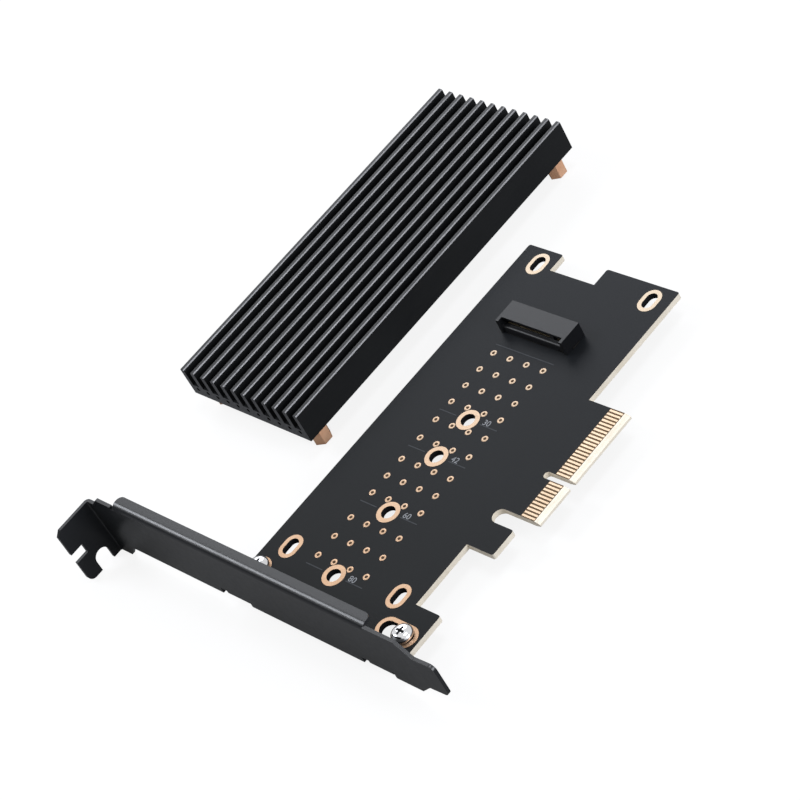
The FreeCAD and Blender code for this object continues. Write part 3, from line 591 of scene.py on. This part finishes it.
def bar(name: str, low: Vector, high: Vector) -> bpy.types.Object:
    """Adds a box between two corners, as a start for shaping or as a cutter.

    Args:
        name: its name.
        low: its lowest corner, in millimetres.
        high: its highest corner, in millimetres.

    Returns:
        The box.
    """
    put_down()
    bpy.ops.mesh.primitive_cube_add(size=1.0, location=(low + high) / 2 * MM)
    piece = start(name)
    bpy.ops.transform.resize(value=(high - low) * MM, center_override=(low + high) / 2 * MM)
    return settle(piece)


def rod(
    name: str, centre: Vector, radius: float, length: float, turn: Quaternion, sides: int
) -> bpy.types.Object:
    """Adds a round rod as a cutter.

    Args:
        name: its name.
        centre: its middle, in millimetres.
        radius: its radius, in millimetres.
        length: its length, in millimetres.
        turn: the turn that takes Z to its axis.
        sides: the corners of its section.

    Returns:
        The rod.
    """
    put_down()
    bpy.ops.mesh.primitive_cylinder_add(
        vertices=sides,
        radius=radius * MM,
        depth=length * MM,
        location=centre * MM,
        rotation=turn.to_euler(),
    )
    bpy.context.object.name = name
    return settle(bpy.context.object)


def cut(piece: bpy.types.Object, cutter: bpy.types.Object) -> None:
    """Takes one piece's shape out of another.

    Args:
        piece: the piece to cut.
        cutter: what is taken out of it, thrown away after.
    """
    shape_with(piece, "BOOLEAN", object=cutter, operation="DIFFERENCE", solver="EXACT")
    bpy.data.objects.remove(cutter)


def join(pieces: Sequence[bpy.types.Object]) -> bpy.types.Object:
    """Joins pieces into one.

    Args:
        pieces: the pieces.

    Returns:
        The first of them, which holds them all.
    """
    put_down()
    for piece in pieces:
        piece.select_set(True)
    bpy.context.view_layer.objects.active = pieces[0]
    if len(pieces) > 1:
        bpy.ops.object.join()
    put_down()
    return pieces[0]


def twin(piece: bpy.types.Object, place: Matrix) -> bpy.types.Object:
    """Copies a piece with a mesh of its own.

    Args:
        piece: the piece.
        place: the matrix that moves, turns or mirrors the copy.

    Returns:
        The copy, with its faces outwards also when mirrored.
    """
    copy = bpy.data.objects.new(piece.name, piece.data.copy())
    bpy.context.scene.collection.objects.link(copy)
    copy.data.transform(place)
    if place.determinant() < 0:
        copy.data.flip_normals()
    return copy


def under(level: float) -> Matrix:
    """The mirror that carries the board's upper face to its lower one.

    Args:
        level: the height of the mirror's plane in millimetres.

    Returns:
        The matrix for a mesh in metres.
    """
    return Matrix.Translation((0, 0, 2 * level * MM)) @ Matrix.Diagonal((1, 1, -1, 1))


def hand_over(piece: bpy.types.Object, nodes: Sequence[str] = ()) -> bpy.types.Object:
    """Seats a finished piece on the card's body and reports it.

    Args:
        piece: the finished piece.
        nodes: the CAD nodes that it stands for.

    Returns:
        The piece.
    """
    take_up(piece)
    bpy.ops.object.transform_apply(location=True, rotation=True, scale=True)
    put_down()
    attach(piece, "root")
    if nodes:
        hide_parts(*nodes)
    log.info("%s: %d faces", piece.name, len(piece.data.polygons))
    return piece


def box_mm(node: str) -> tuple[Vector, Vector]:
    """Measures a CAD node.

    Args:
        node: its name.

    Returns:
        Its lowest and highest corners in millimetres.
    """
    low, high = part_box(node)
    return low / MM, high / MM


# The card


@dataclass
class Board:
    """The printed circuit board: mask on its faces, bare routed edges, and its plated lands."""

    thickness: float = 1.6
    module_holes: tuple[float, ...] = (0.0, 20.0, 38.0, 50.0)  # x of each, on y = 0
    hole_reach: float = 2.2  # a hole's wall lies nearer its axis than this
    slot_columns: tuple[float, ...] = (2.05, 97.15)  # the heatsink's slots
    slot_rows: tuple[float, ...] = (16.985, -19.865)
    slot_reach: tuple[float, float] = (2.8, 2.8)
    bracket_x: float = -6.0  # the line of the bracket's screws
    bracket_holes: tuple[tuple[float, float], ...] = ((20.3, 2.4), (-26.6, 5.4))  # y and reach of each
    finger_field: tuple[float, float, float] = (32.35, 66.05, -32.55)  # first x, last x and inner y
    via_columns: tuple[float, ...] = (3, 9, 15, 23, 28.5, 34, 41, 47, 53, 58.45, 63.9, 69.35)
    via_rows: tuple[float, ...] = (-8.25, -2.75, 2.75, 8.25)
    via_radius: float = 0.87
    via_bore: float = 0.42
    plating: float = 0.05  # height of gold and copper over the board
    finger_groups: tuple[tuple[float, int], ...] = ((32.7, 11), (45.7, 21))  # first x and count
    finger_share: float = 0.8  # what the etch leaves of a finger's width
    etch: float = 0.02  # rounding that it leaves on a rim
    number_size: float = 2.3
    number_place: tuple[float, float] = (0.25, -4.3)  # from the hole's axis
    ink: float = 0.01

    def build(self) -> None:
        """Builds and dresses the board and what is plated or printed on it."""
        self.laminate()
        self.rings()
        self.vias()
        self.fingers()
        self.printing()

    def in_hole(self, at: Vector) -> bool:
        """Tells if a wall's middle lies on a drilled hole or slot and not on the board's outline."""
        if any(math.hypot(at.x - x, at.y) < self.hole_reach for x in self.module_holes):
            return True
        if any(
            abs(at.x - x) < self.slot_reach[0] and abs(at.y - y) < self.slot_reach[1]
            for x in self.slot_columns
            for y in self.slot_rows
        ):
            return True
        return any(
            abs(at.x - self.bracket_x) < self.hole_reach and abs(at.y - y) < reach
            for y, reach in self.bracket_holes
        )

    def laminate(self) -> None:
        """The board itself, with its contact field cut out of the mask."""
        piece = copy_of("circuit_board", "board_laminate")
        first, last, field_edge = self.finger_field
        mark(piece, Part.FACES, lambda at, n: True)
        bpy.ops.mesh.bisect(plane_co=(0, field_edge * MM, 0), plane_no=(0, 1, 0))
        put_down()
        smooth(piece)
        paint(piece, SOLDER_MASK_WITH_PAINTED_LIGHT)
        paint(piece, LAMINATE_EDGE, lambda at, n: abs(n.z) < 0.98)
        # Painted shade: the walls of the holes are painted dark.
        paint(piece, HOLE_WALL_PAINTED_SHADE, lambda at, n: abs(n.z) < 0.5 and self.in_hole(at))
        paint(
            piece,
            LAMINATE_BARE,
            lambda at, n: abs(n.z) > 0.98 and at.y < field_edge and first - 0.4 < at.x < last + 0.4,
        )
        hand_over(piece, ["circuit_board"])

    def rings(self) -> None:
        """The gold rings round the holes, on both faces, with etched and softened rims."""
        for node, both in (
            ("module_hole_rings", True),
            ("sink_slot_rings", True),
            ("bracket_ring_left", False),
            ("bracket_ring_right", False),
        ):
            piece = copy_of(node, f"gold_{node}")
            ease_edges(piece, self.etch)
            smooth(piece)
            if both:
                piece = join([piece, twin(piece, under(-self.thickness / 2))])
            paint(piece, IMMERSION_GOLD_WITH_PAINTED_LIGHT)
            hand_over(piece, [node])

    def vias(self) -> None:
        """The plugged vias: a domed land round a dark middle, on both faces."""
        bore, rim, top = self.via_bore, self.via_radius, self.plating
        land = turned(
            "via_land",
            [(rim, 0.0), (rim, 0.6 * top), (rim - 0.06, top), (bore + 0.08, top), (bore, 0.7 * top),
             (bore, 0.2 * top), (0.0, 0.2 * top)],
            (0.0, 0.0),
            20,
        )
        smooth(land, 50)
        paint(land, IMMERSION_GOLD_WITH_PAINTED_LIGHT)
        paint(land, PLUGGED_VIA, lambda at, n: n.z > 0 and math.hypot(at.x, at.y) < bore)
        above = [
            twin(land, Matrix.Translation(Vector((x, y, 0)) * MM))
            for x in self.via_columns
            for y in self.via_rows
        ]
        below = [twin(piece, under(-self.thickness / 2)) for piece in above]
        bpy.data.objects.remove(land)
        piece = join(above + below)
        piece.name = "gold_via_lands"
        hand_over(piece, ["via_lands"])

    def fingers(self) -> None:
        """The contact fingers, a little undercut by the etch, with the rounded rims of plated copper."""
        centres = [first + place for first, count in self.finger_groups for place in range(count)]
        for side in ("front", "back"):
            piece = copy_of(f"edge_contacts_{side}", f"gold_fingers_{side}")
            for middle in centres:
                mark(piece, Part.FACES, lambda at, n: abs(at.x - middle) < 0.5)
                bpy.ops.transform.resize(
                    value=(self.finger_share, 1.0, 1.0), center_override=(middle * MM, 0.0, 0.0)
                )
            put_down()
            ease_edges(piece, self.etch, 1)
            paint(piece, HARD_GOLD)
            hand_over(piece, [f"edge_contacts_{side}"])

    def printing(self) -> None:
        """The printed lines, and beside each hole the module length in millimetres that it is for."""
        paint(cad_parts["printed_lines"], PRINT_INK)
        numbers = []
        along, across = self.number_place
        for x, length in zip(self.module_holes, (80, 60, 42, 30)):
            put_down()
            bpy.ops.object.text_add(
                rotation=(0, 0, math.radians(-90)), location=Vector((x + along, across, 0)) * MM
            )
            text = bpy.context.object
            text.data.body = str(length)
            text.data.size = self.number_size * MM
            text.data.extrude = self.ink * MM
            bpy.ops.object.convert(target="MESH")
            bpy.ops.transform.translate(value=(0, 0, self.ink * MM))
            numbers.append(settle(text))
        piece = join(numbers)
        piece.name = "length_numbers"
        paint(piece, NUMBER_INK)
        hand_over(piece)


@dataclass
class Socket:
    """The module socket: a moulded housing with two rows of sprung contacts."""

    arris: float = 0.12  # rounding of the moulding's edges
    stamped: float = 0.02  # rounding of a contact's edges
    sill: tuple[float, float] = (75.95, 2.0)  # x and z of the lower lip's front edge
    sill_round: float = 0.6

    def build(self) -> None:
        """Builds the housing and dresses the contacts."""
        housing = copy_of("socket_housing", "socket_moulding")
        self.round_lip(housing)
        ease_edges(housing, self.arris)
        smooth(housing)
        paint(housing, MOULDED_NYLON)
        hand_over(housing, ["socket_housing"])
        for row in ("upper", "lower"):
            piece = copy_of(f"socket_contacts_{row}", f"sprung_contacts_{row}")
            ease_edges(piece, self.stamped, 1)
            smooth(piece)
            paint(piece, GOLD_FLASH)
            # Painted shade on the contacts' feet, low under the socket's lip.
            paint(piece, FEET_PAINTED_SHADE, lambda at, n: at.z < 0.5)
            hand_over(piece, [f"socket_contacts_{row}"])
        anchors = copy_of("socket_hold_downs", "socket_anchors")
        ease_edges(anchors, 0.06)
        smooth(anchors)
        # Painted shade over the anchors.
        paint(anchors, FEET_PAINTED_SHADE)
        hand_over(anchors, ["socket_hold_downs"])

    def round_lip(self, housing: bpy.types.Object) -> None:
        """Rounds the lower lip's front edge, over which a module is led in.

        Args:
            housing: the moulding.
        """
        front, top = self.sill
        mark(
            housing, Part.EDGES,
            lambda at, way: abs(way.y) > 0.99 and abs(at.x - front) < 0.02 and abs(at.z - top) < 0.02,
        )
        bpy.ops.mesh.bevel(offset=self.sill_round * MM, segments=4, profile=0.5)
        put_down()


@dataclass
class Bracket:
    """The full height steel bracket, folded, pierced and powder coated, and its two screws."""

    arris: float = 0.14  # rounding that the powder gives an edge
    corner: tuple[float, float] = (-14.61, 15.4)  # x and z where plate and flange would meet
    sheet: float = 0.9
    bend_reach: float = 2.0  # the bend lies this near the flange's top
    outer_wider: float = 1.27  # growth of the bend's outer radius
    inner_wider: float = 2.2
    screw_places: tuple[tuple[str, float, float], ...] = (("left", -6.0, 20.3), ("right", -6.0, -28.7))
    seat: float = 0.05  # height of the head's underside, on the gold
    head_radius: float = 2.7
    head_height: float = 1.9
    shank_radius: float = 1.5
    shank_length: float = 4.0
    thread_pitch: float = 0.5
    thread_depth: float = 0.28
    recess_width: float = 0.72
    recess_reach: float = 1.35
    recess_depth: float = 1.1
    recess_taper: float = 0.7  # its foot's width as a share of its mouth's

    def build(self) -> None:
        """Builds the sheet and the screws."""
        sheet = copy_of("bracket", "bracket_sheet")
        self.widen_bend(sheet)
        ease_edges(sheet, self.arris, 3)
        smooth(sheet)
        paint(sheet, POWDER_COAT)
        hand_over(sheet, ["bracket"])
        for side, x, y in self.screw_places:
            self.screw(side, x, y)

    def widen_bend(self, sheet: bpy.types.Object) -> None:
        """Gives the flange's bend the soft radius of a press brake, from the corner of each face.

        Args:
            sheet: the bracket's sheet.
        """
        x, z = self.corner
        for way, grow, inset in ((1, self.outer_wider, 0.0), (-1, self.inner_wider, self.sheet)):
            mark(
                sheet, Part.FACES,
                lambda at, n: at.z > z - self.bend_reach and way * n.x < -0.02 and way * n.z > 0.02,
            )
            bpy.ops.transform.resize(
                value=(grow, 1.0, grow), center_override=Vector((x + inset, 0.0, z - inset)) * MM
            )
        put_down()

    def screw(self, side: str, x: float, y: float) -> None:
        """Turns one pan head screw and presses its cross recess.

        Args:
            side: the end of the bracket that it holds.
            x: its axis.
            y: its axis.
        """
        base, radius, top = self.seat, self.head_radius, self.seat + self.head_height
        tip = base - self.shank_length
        profile = [(0.9, tip), (self.shank_radius - 0.3, tip + 0.15)]
        height = tip + 0.3
        while height < base - 1.8 * self.thread_pitch:
            profile += [
                (self.shank_radius, height + 0.15), (self.shank_radius - self.thread_depth, height + 0.4)
            ]
            height += self.thread_pitch
        profile += [(self.shank_radius, base - 0.2), (self.shank_radius, base)]
        profile += [
            (radius - 0.1, base), (radius, base + 0.1), (radius, base + 0.75), (radius - 0.07, base + 1.0),
            (radius - 0.3, base + 1.32), (radius - 0.7, base + 1.6), (radius - 1.2, base + 1.79),
            (radius - 1.8, top - 0.03), (0.0, top),
        ]
        piece = turned(f"screw_{side}", profile, (x, y), 48)
        for across in (False, True):
            reach = Vector((self.recess_reach, self.recess_width / 2, 0))
            if across:
                reach = reach.yxz
            middle = Vector((x, y, 0))
            cutter = bar(
                "recess", middle - reach + UP * (top - self.recess_depth), middle + reach + UP * (top + 0.6)
            )
            mark(cutter, Part.FACES, lambda at, n: n.z < -0.9)
            bpy.ops.transform.resize(
                value=(self.recess_taper, self.recess_taper, 1.0),
                center_override=(middle + UP * (top - self.recess_depth)) * MM,
            )
            put_down()
            cut(piece, cutter)
        ease_edges(piece, 0.05, 2, 40)
        smooth(piece, 40)
        paint(piece, BRIGHT_NICKEL)
        # Painted shade in the cross recess.
        paint(
            piece,
            RECESS_PAINTED_SHADE,
            lambda at, n: math.hypot(at.x - x, at.y - y) < self.recess_reach + 0.05
            and at.z > base + 0.4
            and (abs(n.z) < 0.6 or at.z < top - 0.45),
        )
        hand_over(piece, [f"bracket_screw_{side}"])


# The heatsink


@dataclass
class Heatsink:
    """The extruded heatsink on its four standoffs, with the pad under it."""

    fins: int = 12
    pitch: float = 3.9
    gap_floor: float = 3.4  # the roots' height over the underside
    channel_radius: float = 0.58
    channel_drop: float = 1.15  # a channel's axis lies this far under the root
    tip_round: float = 0.34
    arris: float = 0.15
    standoff_inset: tuple[float, float] = (2.598, 2.25)  # from the group's box to an axis
    bore: float = 1.25
    thread_depth: float = 0.2
    thread_pitch: float = 0.5
    thread_length: float = 4.0
    thread_start: float = 0.15
    standoff_arris: float = 0.16
    pad_round: float = 0.25

    def build(self) -> None:
        """Builds the bar, the standoffs and the pad."""
        self.extrusion()
        self.standoffs()
        self.pad()

    def extrusion(self) -> None:
        """The finned bar: rounded fin tips, round channels along the roots, sawn ends."""
        low, high = box_mm("heatsink")
        middle = (low + high) / 2
        piece = copy_of("heatsink", "heatsink_bar")
        mark(
            piece, Part.EDGES,
            lambda at, way: at.z > high.z - 0.01 and abs(way.x) > 0.99,
        )
        bpy.ops.mesh.bevel(offset=self.tip_round * MM, segments=3, profile=0.5)
        put_down()
        lengthwise = Vector((1, 0, 0)).to_track_quat("Z", "Y")
        channels = []
        for gap in range(self.fins - 1):
            y = middle.y + (gap - (self.fins - 2) / 2) * self.pitch
            at = Vector((middle.x, y, low.z + self.gap_floor - self.channel_drop))
            channels.append(rod("channel", at, self.channel_radius, high.x - low.x + 2, lengthwise, 12))
        cut(piece, join(channels))
        ease_edges(piece, self.arris, 2, 50)
        smooth(piece)
        paint(piece, ANODISED_DRAWN)
        # Painted highlight on the front of each fin tip's rounding.
        paint(piece, ANODISED_PAINTED_HIGHLIGHT, lambda at, n: at.z > high.z - self.tip_round and -0.95 < n.y < -0.15)
        # The sawn ends, in a lighter tone that is painted light.
        paint(piece, ANODISED_SAWN_PAINTED_LIGHT, lambda at, n: abs(n.x) > 0.9)
        hand_over(piece, ["heatsink"])

    def standoffs(self) -> None:
        """The hexagonal standoffs, with chamfered ends and a thread in each bore."""
        low, high = box_mm("standoffs")
        hexes = copy_of("standoffs", "hex_standoffs")
        ease_edges(hexes, self.standoff_arris, 2, 50)
        smooth(hexes)
        along, across = self.standoff_inset
        threads = [
            self.thread(x, y, low.z + self.thread_start)
            for x in (low.x + along, high.x - along)
            for y in (low.y + across, high.y - across)
        ]
        piece = join([hexes, *threads])
        paint(piece, TURNED_BRASS)
        hand_over(piece, ["standoffs"])

    def thread(self, x: float, y: float, foot: float) -> bpy.types.Object:
        """Turns the ridges of one thread as a sleeve in its bore.

        Args:
            x: the bore's axis.
            y: the bore's axis.
            foot: the height of the thread's lower end.
        """
        outer = self.bore + 0.05
        profile = [(outer, foot + self.thread_length), (outer, foot)]
        turns = int(self.thread_length / self.thread_pitch)
        for turn in range(turns):
            height = foot + turn * self.thread_pitch
            profile += [
                (self.bore, height + 0.03), (self.bore - self.thread_depth, height + self.thread_pitch / 2)
            ]
        profile.append((self.bore, foot + self.thread_length))
        piece = turned("thread", profile, (x, y), 24)
        mark(piece, Part.FACES, lambda at, n: abs(n.z) > 0.99)
        bpy.ops.mesh.delete(type="ONLY_FACE")
        put_down()
        return settle(piece)

    def pad(self) -> None:
        """The soft pad, pressed out a little at its rim."""
        low, high = box_mm("thermal_pad")
        piece = bar("soft_pad", low, high)
        mark(piece, Part.FACES, lambda at, n: True)
        bpy.ops.mesh.subdivide(number_cuts=3)
        put_down()
        ease_edges(piece, self.pad_round, 3)
        smooth(piece)
        paint(piece, FILLED_SILICONE)
        hand_over(piece, ["thermal_pad"])


# The studio


@dataclass(frozen=True)
class Softbox:
    """One round lamp that faces the middle of the card."""

    name: str
    way: tuple[float, float, float]
    distance: float  # metres, as are all sizes of the lamps
    width: float
    power: float  # watts
    middle: tuple[float, float, float] = (0.05, 0.03, 0.0)
    colour: str = "F3F7FF"

    def hang(self) -> None:
        """Adds the lamp, out along its way from the card."""
        way = Vector(self.way).normalized()
        put_down()
        bpy.ops.object.light_add(type="AREA", location=Vector(self.middle) + way * self.distance)
        lamp = bpy.context.object
        lamp.name = self.name
        lamp.data.shape = "DISK"
        lamp.data.size = self.width
        lamp.data.energy = self.power
        lamp.data.color = linear(self.colour)[:3]
        lamp.rotation_euler = (-way).to_track_quat("-Z", "Y").to_euler()


@dataclass
class Studio:
    """Floor, world, lamps and camera."""

    eye: tuple[float, float, float] = (-179.9, -435.8, 432.8)
    target: tuple[float, float, float] = (48.33, 21.90, 0.0)
    roll: float = 30.854  # degrees
    focal_pixels: float = 2800.0
    image_width: float = 800.0
    sensor: float = 36.0
    floor_size: float = 8.0  # metres, as are the flag's place and size
    flag_place: tuple[float, float, float] = (-0.62, 0.68, 0.16)
    flag_size: tuple[float, float] = (1.2, 0.34)
    world_level: float = 0.4
    paper_seen: str = "FAFAFA"
    paper_lighting: str = "808080"
    glow: float = 0.86
    glow_in_gloss: float = 0.04
    lamps: tuple[Softbox, ...] = (
        Softbox("back_softbox", (0.516, 0.661, 0.545), 1.2, 0.7, 5.0),
        Softbox("left_softbox", (-0.3, 0.68, 0.65), 1.2, 0.5, 7.5),
        Softbox("overhead_softbox", (0.2, -0.15, 1.0), 1.3, 0.45, 5.0),
        Softbox("front_fill", (0.15, -0.9, 0.36), 1.5, 0.8, 15.0),
    )

    def build(self) -> None:
        """Sets the whole studio up."""
        self.floor()
        self.flag()
        self.world()
        for lamp in self.lamps:
            lamp.hang()
        self.camera()
        bpy.context.scene.view_settings.view_transform = "Standard"

    def floor(self) -> None:
        """The pale floor that the standoffs and the bracket's tab stand on."""
        level = min(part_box("standoffs")[0].z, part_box("bracket")[0].z)
        put_down()
        bpy.ops.mesh.primitive_plane_add(size=self.floor_size, location=(0, 0, level))
        sheet = bpy.context.object
        sheet.name = "floor"
        material = bpy.data.materials.new("floor_paper")
        material.use_nodes = True
        tree = material.node_tree
        tree.nodes.clear()
        path = add_node(tree, "ShaderNodeLightPath").outputs
        seen = add_node(
            tree, "ShaderNodeMath", {"operation": "MAXIMUM"},
            {0: path["Is Camera Ray"], 1: path["Is Transmission Ray"]},
        ).outputs[0]
        glow = add_node(
            tree, "ShaderNodeMath", {"operation": "MULTIPLY"}, {0: seen, 1: self.glow}
        ).outputs[0]
        share = add_node(
            tree, "ShaderNodeMath", {"operation": "MULTIPLY_ADD"},
            {0: path["Is Glossy Ray"], 1: self.glow_in_gloss, 2: glow},
        ).outputs[0]
        tone = add_node(
            tree, "ShaderNodeMix", {"data_type": "RGBA"},
            {0: seen, 6: linear(self.paper_lighting), 7: linear(self.paper_seen)},
        ).outputs[2]
        paper = add_node(tree, "ShaderNodeBsdfDiffuse", inputs={"Color": tone}).outputs["BSDF"]
        white = add_node(
            tree, "ShaderNodeEmission", inputs={"Color": linear("FFFFFF"), "Strength": 1.0}
        ).outputs["Emission"]
        mixed = add_node(tree, "ShaderNodeMixShader", inputs={0: share, 1: paper, 2: white}).outputs[0]
        add_node(tree, "ShaderNodeOutputMaterial", inputs={"Surface": mixed})
        sheet.data.materials.append(material)

    def flag(self) -> None:
        """A black sheet, seen only in gloss and clear to every other ray: a painted dark reflection, which
        draws the dark line under the flange's bend.
        """
        put_down()
        bpy.ops.mesh.primitive_plane_add(
            size=1.0, location=self.flag_place, rotation=(math.radians(90.0), 0.0, math.radians(45.0))
        )
        card = bpy.context.object
        card.name = "gloss_only_black_sheet"
        card.scale = (*self.flag_size, 1.0)
        material = bpy.data.materials.new("gloss_only_painted_reflection")
        material.use_nodes = True
        tree = material.node_tree
        tree.nodes.clear()
        path = add_node(tree, "ShaderNodeLightPath").outputs
        # Painted reflection: black in gloss, clear to the camera, to shadows and to diffuse light.
        cloth = add_node(
            tree, "ShaderNodeBsdfDiffuse", inputs={"Color": linear("080808")}
        ).outputs["BSDF"]
        clear = add_node(tree, "ShaderNodeBsdfTransparent").outputs["BSDF"]
        mixed = add_node(
            tree, "ShaderNodeMixShader", inputs={0: path["Is Glossy Ray"], 1: clear, 2: cloth}
        ).outputs[0]
        add_node(tree, "ShaderNodeOutputMaterial", inputs={"Surface": mixed})
        card.data.materials.append(material)

    def world(self) -> None:
        """An even pale world: white where it is seen, at the lamps' level where it lights."""
        world = bpy.data.worlds.new("studio")
        bpy.context.scene.world = world
        world.use_nodes = True
        tree = world.node_tree
        tree.nodes.clear()
        strength = add_node(
            tree,
            "ShaderNodeMapRange",
            inputs={"Value": self._seen(tree), "To Min": self.world_level, "To Max": 1.0},
        ).outputs["Result"]
        glow = add_node(
            tree, "ShaderNodeBackground", inputs={"Color": linear("FFFFFF"), "Strength": strength}
        ).outputs["Background"]
        add_node(tree, "ShaderNodeOutputWorld", inputs={"Surface": glow})

    @staticmethod
    def _seen(tree: bpy.types.NodeTree) -> bpy.types.NodeSocket:
        """Gives 1 to a ray from the camera, off gloss or through glass, and 0 to any other."""
        path = add_node(tree, "ShaderNodeLightPath")
        seen = path.outputs["Is Camera Ray"]
        for other in ("Is Glossy Ray", "Is Transmission Ray"):
            seen = add_node(
                tree, "ShaderNodeMath", {"operation": "MAXIMUM"}, {0: seen, 1: path.outputs[other]}
            ).outputs[0]
        return seen

    def camera(self) -> None:
        """The camera at the photograph's viewing angle, rolled as it was."""
        data = bpy.data.cameras.new("camera")
        data.sensor_width = self.sensor
        data.lens = self.focal_pixels / self.image_width * self.sensor
        data.clip_start, data.clip_end = 0.01, 20.0
        camera = bpy.data.objects.new("camera", data)
        bpy.context.scene.collection.objects.link(camera)
        eye, target = Vector(self.eye) * MM, Vector(self.target) * MM
        camera.location = eye
        camera.rotation_mode = "QUATERNION"
        level = (target - eye).to_track_quat("-Z", "Y")
        camera.rotation_quaternion = level @ Quaternion((0, 0, 1), -math.radians(self.roll))
        bpy.context.scene.camera = camera


def main() -> None:
    """Builds the card, the heatsink and the studio."""
    logging.basicConfig(level=logging.INFO, format="%(name)s %(message)s")
    for assembly in (Board(), Socket(), Bracket(), Heatsink(), Studio()):
        assembly.build()
        log.info("%s is built", type(assembly).__name__)
    put_down()


if __name__ == "__main__":
    main()
